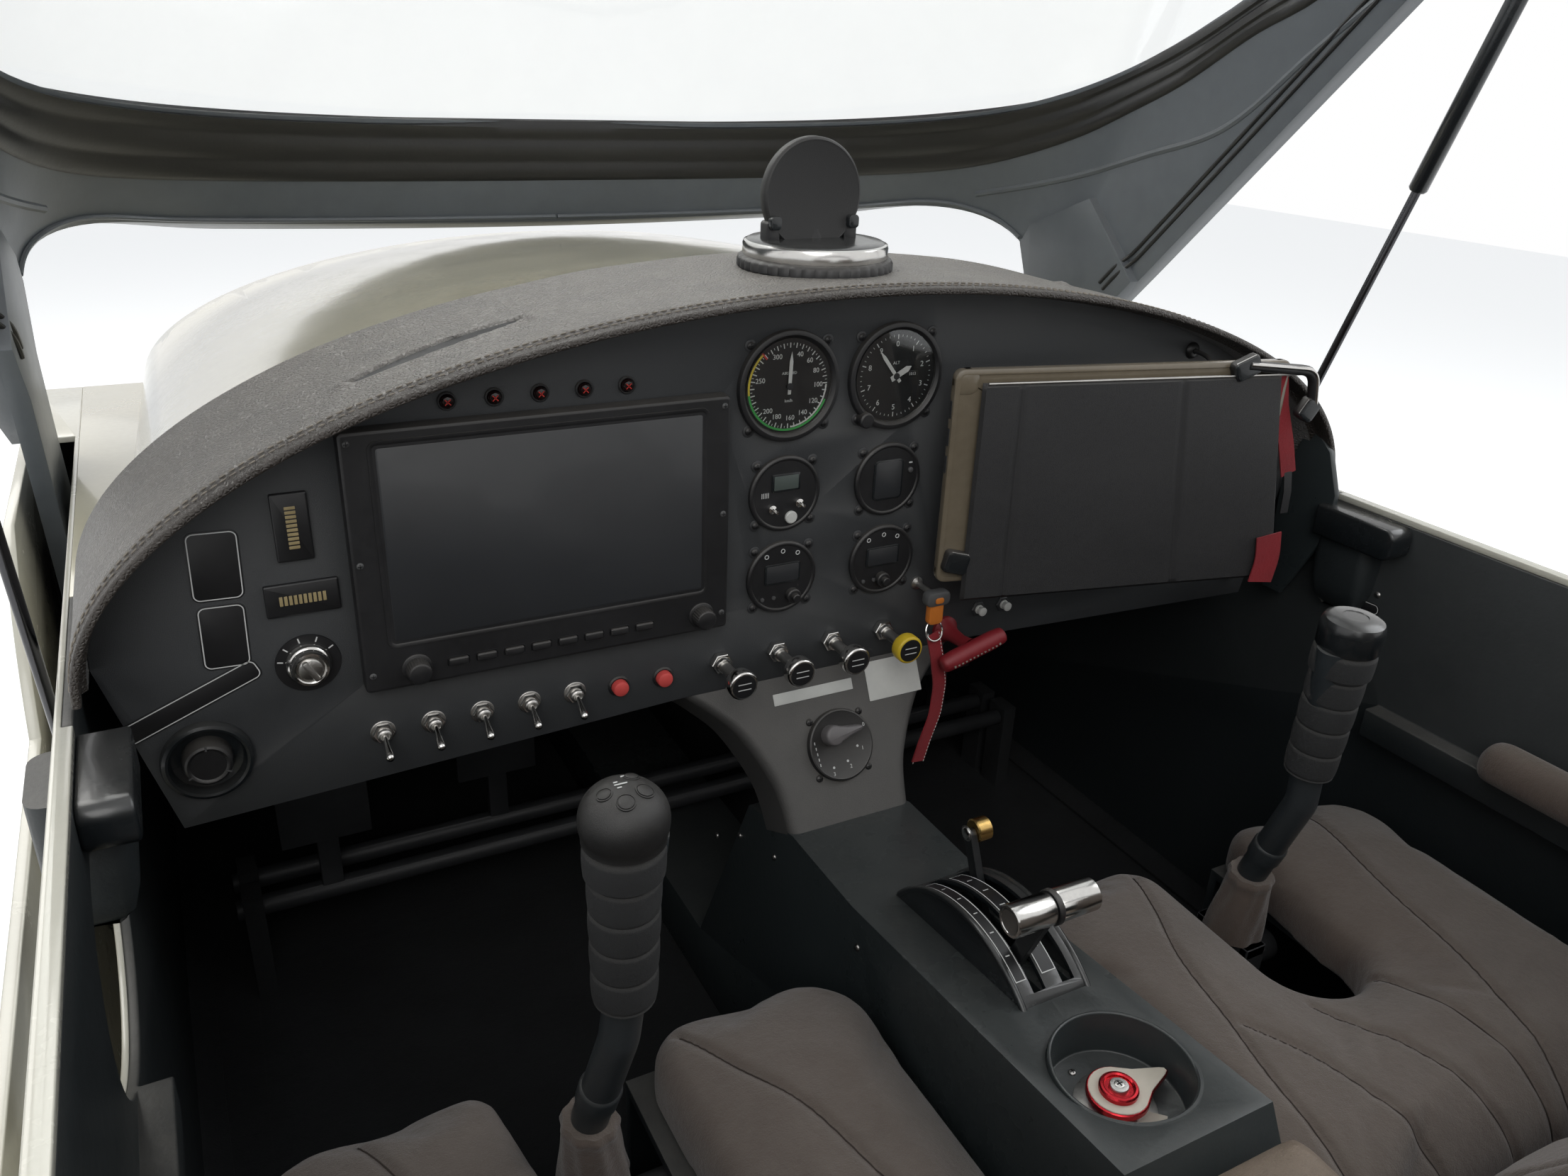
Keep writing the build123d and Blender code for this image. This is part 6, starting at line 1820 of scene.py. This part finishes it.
def makeHanging():
    s = hangingSettings
    x, z = s["rescue"]
    first, last = (Vector(p) for p in s["barEnds"])
    long = (last - first).length
    bar = lathe([(0, 0), (4.5, 0), (6.4, 1.2), (7.2, 3.4), (8, 12), (8, long - 12), (7.2, long - 3.4),
                 (6.4, long - 1.2), (4.5, long), (0, long)], 30)
    turned = Matrix.Translation(first) @ aimed(last - first)
    stem = lathe([(12, 0), (12, 3), (9, 6), (6.4, 14), (5.4, 26), (6.6, 34), (8.2, 40)], 28)
    bead = lathe([(1.1, 0), (1.1, 0.3), (0, 0.4)], 8)
    spots = [first.lerp(last, 0.14 + 0.06 * k) + Vector((0, -7.6, -1.6)) for k in range(13)]
    dots = [(bead, moved(*p) @ Matrix.Rotation(1.4, 4, "X"), "thread") for p in spots]
    build("rescueGrip", [(bar, turned, "redPlastic"), (stem, onPanel(x, z), "redPlastic")] + dots,
          ("rescue_handle",))
    x, z = s["tag"]
    ring = [(x + 8 * cos(a), -32 + 3 * sin(a), z - 31 + 8 * sin(a)) for a in
            [2 * pi * k / 40 for k in range(40)]]
    strap = [Vector(p) for p in s["strap"]]
    fine = rounded(strap, 60, 5)
    forms = [(lathe([(5.5, 0), (5.5, 2), (2.5, 3.5), (2.5, 31), (1.8, 33), (0, 33.4)], 20), onPanel(x, z),
              "satinMetal"), (pipe(ring, 0.9, 8, closed=True), here, "chrome"),
             (slab(14, 22, 7, 4, 1.6), onPanel(x, z - 14, -26.5), "orangePlastic"),
             (slab(23, 13, 10, 5, 2.2), onPanel(x, z - 1, -25.5), "greyPlastic"),
             (slab(8, 5, 1.2, 2, 0.4), onPanel(x, z - 2, -35.2), "orangePlastic"),
             (ribbon(fine, s["strapWide"], 1.4, (1, 0.15, 0)), here, "ribbonRed")]
    build("pinTag", forms, ("safety_tag",))
    sides = [[p + Vector((side * 5.4, -1.0, 0)) for p in fine] for side in (-1, 1)]
    stitches("tagStitches", sides, 3.4, 2.4, 0.7, "plateWhite")


# blank plates and small screws about the cabin
plateSettings = {
    "panel": [(-439.5, -79, 30, 46, -2), (-441, -127, 28, 44, -2), (-466, -168.5, 90, 15, 22.5)],
    "wall": (-97, -235, 60, 11), "radius": 5, "wallX": 524.6,
    "wallScrews": [(-121, -219), (-123, -259), (-126, -306), (-126, -354)],
}


def outlinedPlate(wide, high, place):    # a black plate with a white line round it, left blank
    radius = plateSettings["radius"]
    outer, inner = roundedBox(wide - 1.6, high - 1.6, radius - 0.8), roundedBox(wide - 3.0, high - 3.0, radius - 1.4)
    ring = gridForm([[(*a, 0.75) for a in outer], [(*b, 0.75) for b in inner]], closedColumns=True)
    return [(slab(wide, high, 0.7, radius, 0.15), place, "plateBlack"), (ring, place, "whitePrint")]


def makePlates():
    s = plateSettings
    forms = []
    for x, z, wide, high, turn in s["panel"]:
        forms += outlinedPlate(wide, high, onPanel(x, z, 0, turn))
    y, z, wide, high = s["wall"]
    right = at(s["wallX"], y, z, (0, -1, 0.05), (0, 0, 1))
    forms += outlinedPlate(wide, high, right)
    build("blankPlates", forms)
    fasteners("wallScrews", [((524.8, y, z), (-1, 0, 0)) for y, z in s["wallScrews"]], 3.2, 1.6, "satinMetal")


makePhoneMount()
makeTabletCover()
makeTablet()
makeTabletMount()
makeHanging()
makePlates()
print("stage: what the panel carries")


# seats: each pad is blown up as cloth from a slightly smaller shape, then its seams are pressed in
seatSettings = {
    "voxel": 0.006, "pressure": 4.0, "frames": 20, "cap": 0.011, "inset": 7,
    "cushion": {"x": (60, 498), "y": (-500, -152), "z": (-445.7, -389.7), "corner": 60},
    "well": {"left": 236, "right": 324, "end": (270, -306, 36), "leftLip": 42, "rightLip": 30},
    "back": {"x": (68, 494), "thick": 62, "long": 500, "corner": 60, "place": (0, -501, -380), "lean": 32},
    "armrest": {"x": (-57, 57), "y": (-636, -454), "z": (-346.7, -304.7), "corner": 18},
    "bolster": {"x": (481, 524.7), "y": (-420, -262), "z": (-321.7, -278), "corner": 18},
    "seamDeep": 3.4, "seamWide": 3.2, "threadR": 0.55,
    "pads": [    # piece, finish, node, slot, fill
        ("armrestPad", "tanLeather", "armrest_cushion", "tan_leather", 0.8),
        ("seatCushionRight", "suede", "seat_cushion_right", "suede", 0.7),
        ("seatBackRight", "suede", "seat_back_right", "suede", 0.7),
        ("seatCushionLeft", "suede", "seat_cushion_left", "suede", 0.7),
        ("seatBackLeft", "suede", "seat_back_left", "suede", 0.7),
        ("bolsterRight", "suede", "side_bolsters", "suede", 0.8), ("bolsterLeft", "suede", None, "suede", 0.8),
    ],
    "cushionSeams": [
        [(208, -176), (186, -225), (160, -276), (144, -340), (128, -400), (112, -500)],
        [(420, -170), (396, -235), (377, -297), (360, -370), (330, -450), (316, -500)],
        [(149, -345), (172, -391), (184, -446), (190, -500)], [(219, -350), (240, -410), (250, -450), (256, -500)],
        [(296, -345), (303, -400), (302, -450), (296, -500)],
    ],
    "backSeams": [
        [(-132, -10), (-128, 120), (-134, 300), (-156, 510)], [(-430, -10), (-434, 120), (-428, 300), (-406, 510)],
        [(-190, 20), (-196, 200), (-204, 460)], [(-252, 20), (-254, 200), (-256, 460)],
        [(-310, 20), (-308, 200), (-306, 460)],
        [(-370, 20), (-366, 200), (-356, 460)],
    ],
}


def padOutline(x0, x1, y0, y1, corner):
    return [(x + (x0 + x1) / 2, y + (y0 + y1) / 2) for x, y in roundedBox(x1 - x0, y1 - y0, corner, 9)]


def padForm(outline, z0, z1, inset):    # rounded edges, a flat underside
    levels = [(inset + 5, z0 + 0.6), (inset, z0 + 5)]
    for k in range(5):
        a = radians(22.5 * k)
        levels.append((inset + 20 * (1 - cos(a)), z1 - inset - 20 * (1 - sin(a))))
    return layered(outline, levels)


def turnPoints(cx, cy, r, first, last, steps=9):    # points round a corner, angles in degrees
    return [(cx + u, cy + v) for u, v in (polar(r, first + (last - first) * k / steps) for k in range(steps + 1))]


def cushionOutline():    # the seat pad's plan, with the well for the stick cut into its front edge
    s, w = seatSettings["cushion"], seatSettings["well"]
    (x0, x1), (y0, y1) = s["x"], s["y"]
    c, (wellX, wellY, r) = s["corner"], w["end"]
    points = turnPoints(x0 + c, y0 + c, c, 180, 270) + turnPoints(x1 - c, y0 + c, c, 270, 360)
    points += turnPoints(x1 - c, y1 - c, c, 0, 90)
    lip = w["rightLip"]
    points += turnPoints(w["right"] + lip, y1 - lip, lip, 90, 180)
    points += turnPoints(wellX, wellY, r, 18, -180, 18)
    lip = w["leftLip"]
    points += turnPoints(w["left"] - lip, y1 - lip, lip, 0, 90)
    return points + turnPoints(x0 + c, y1 - c, c, 90, 180)


def startPad(name, form, place, fixedTo):    # a remeshed shell with a cloth modifier, held below a height
    s = seatSettings
    work = bmesh.new()
    points, faces = form
    made = [work.verts.new(row(place @ Vector(p))) for p in points]
    for face in faces:
        work.faces.new([made[i] for i in face])
    bmesh.ops.recalc_face_normals(work, faces=work.faces)
    mesh = bpy.data.meshes.new(name)
    work.to_mesh(mesh)
    work.free()
    obj = linked(name, mesh)
    remesh = obj.modifiers.new("even", "REMESH")
    remesh.mode, remesh.voxel_size = "VOXEL", s["voxel"]
    evaluated(obj)
    still = [v.index for v in obj.data.vertices if (place.inverted() @ cabin(v.co)).z < fixedTo]
    group = obj.vertex_groups.new(name="base")
    group.add(still, 1.0, "REPLACE")
    cloth = obj.modifiers.new("swell", "CLOTH")
    cloth.settings.use_pressure = True
    cloth.settings.uniform_pressure_force = s["pressure"]
    cloth.settings.effector_weights.gravity = 0
    cloth.settings.vertex_group_mass = "base"
    cloth.point_cache.frame_start, cloth.point_cache.frame_end = 1, s["frames"]
    return obj


def endPad(obj):    # keep the swollen shape, capped, smoothed once
    before = [v.co.copy() for v in obj.data.vertices]
    if obj.modifiers:
        evaluated(obj)
        for v, old in zip(obj.data.vertices, before):
            move = v.co - old
            if move.length > seatSettings["cap"]:
                v.co = old + move.normalized() * seatSettings["cap"]
    obj.vertex_groups.clear()
    finer = obj.modifiers.new("finer", "SUBSURF")
    finer.levels = finer.render_levels = 1
    evaluated(obj)


def segmentDistance(u, v, a, b):
    dx, dy = b[0] - a[0], b[1] - a[1]
    t = max(0.0, min(1.0, ((u - a[0]) * dx + (v - a[1]) * dy) / (dx * dx + dy * dy)))
    return hypot(u - a[0] - t * dx, v - a[1] - t * dy)


def pressSeams(obj, lines, place, facing):    # push points near the seam lines into the pad
    s = seatSettings
    back = place.inverted()
    mesh = obj.data
    normals = [v.normal.copy() for v in mesh.vertices]
    out = (place.to_3x3() @ Vector(facing)).normalized()
    fine = [lineThrough(line, 26) for line in lines]
    for v, n in zip(mesh.vertices, normals):
        if n.dot(out) < 0.25:
            continue
        p = back @ cabin(v.co)
        near = min(segmentDistance(p.x, p.y, a, b) for line in fine for a, b in zip(line, line[1:]))
        if near < s["seamWide"] * 3:
            v.co -= n * (s["seamDeep"] / 1000 * exp(-(near / s["seamWide"]) ** 2))


def seamThreads(obj, lines, place):    # a dark thread at the bottom of each pressed seam, its darkness also painted shade for the crease
    tree = BVHTree.FromPolygons([v.co for v in obj.data.vertices], [tuple(p.vertices) for p in obj.data.polygons])
    down = place.to_3x3() @ Vector((0, 0, -1))
    forms = []
    for line in lines:
        path = []
        for u, v in lineThrough(line, 90):
            hit, normal, _, _ = tree.ray_cast(row(place @ Vector((u, v, 200))), down)
            if hit is not None and normal.dot(down) < -0.3:
                path.append(cabin(hit) - down * 0.1)
        if len(path) > 8:
            forms.append(pipe(path[2:-2], seatSettings["threadR"], 6))
    return forms


def finishPad(obj, material, body, node):
    obj.data.materials.clear()
    obj.data.materials.append(paint[material])
    obj.data.shade_smooth()
    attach(obj, body)
    if node:
        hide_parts(node)


def otherSide(obj, name):    # the same pad mirrored across the centreline
    mesh = obj.data.copy()
    mesh.transform(Matrix.Scale(-1, 4, (1, 0, 0)))
    mesh.flip_normals()
    return linked(name, mesh)


def makeSeats():
    s = seatSettings
    c, b, a, w = s["cushion"], s["back"], s["armrest"], s["bolster"]
    lean = Matrix.Translation(b["place"]) @ spun(b["lean"], "X")
    backPlace = lean @ at(0, -b["thick"], 0, (-1, 0, 0), (0, 0, 1))    # drawn on the rear face, third axis to the front
    backOutline = padOutline(-b["x"][1], -b["x"][0], 4, b["long"] - 2, b["corner"])
    pads = {}
    for name, outline, (low, high), inset, place, still in (
            ("seatCushionRight", cushionOutline(), c["z"], s["inset"], here, 6),
            ("seatBackRight", backOutline, (0, b["thick"]), s["inset"], backPlace, 6),
            ("armrestPad", padOutline(*a["x"], *a["y"], a["corner"]), a["z"], s["inset"], here, 6),
            ("bolsterRight", padOutline(*w["x"], *w["y"], w["corner"]), w["z"], s["inset"] - 2, here, 5)):
        pads[name] = startPad(name, padForm(outline, low, high, inset), place, low + still)
    for number in range(1, s["frames"] + 1):
        bpy.context.scene.frame_set(number)
    for obj in pads.values():
        endPad(obj)
    bpy.context.scene.frame_set(1)
    threads = []
    for name, lines, place in (("seatCushionRight", s["cushionSeams"], here),
                               ("seatBackRight", s["backSeams"], backPlace)):
        pressSeams(pads[name], lines, place, (0, 0, 1))
        threads += seamThreads(pads[name], lines, place)
    # the seam threads are dark so that they paint the shade of the creases
    for side, name in ((1, "seamShadeThreadsRight"), (-1, "seamShadeThreadsLeft")):
        build(name, mirroredForms([(form, here, "seamShadeThread") for form in threads], side))
    for name in ("bolster", "seatCushion", "seatBack"):
        pads[name + "Left"] = otherSide(pads[name + "Right"], name + "Left")
    for name, material, node, slotName, fill in s["pads"]:
        finishPad(pads[name], material, "airframe", node)


makeSeats()
print("stage: seats")
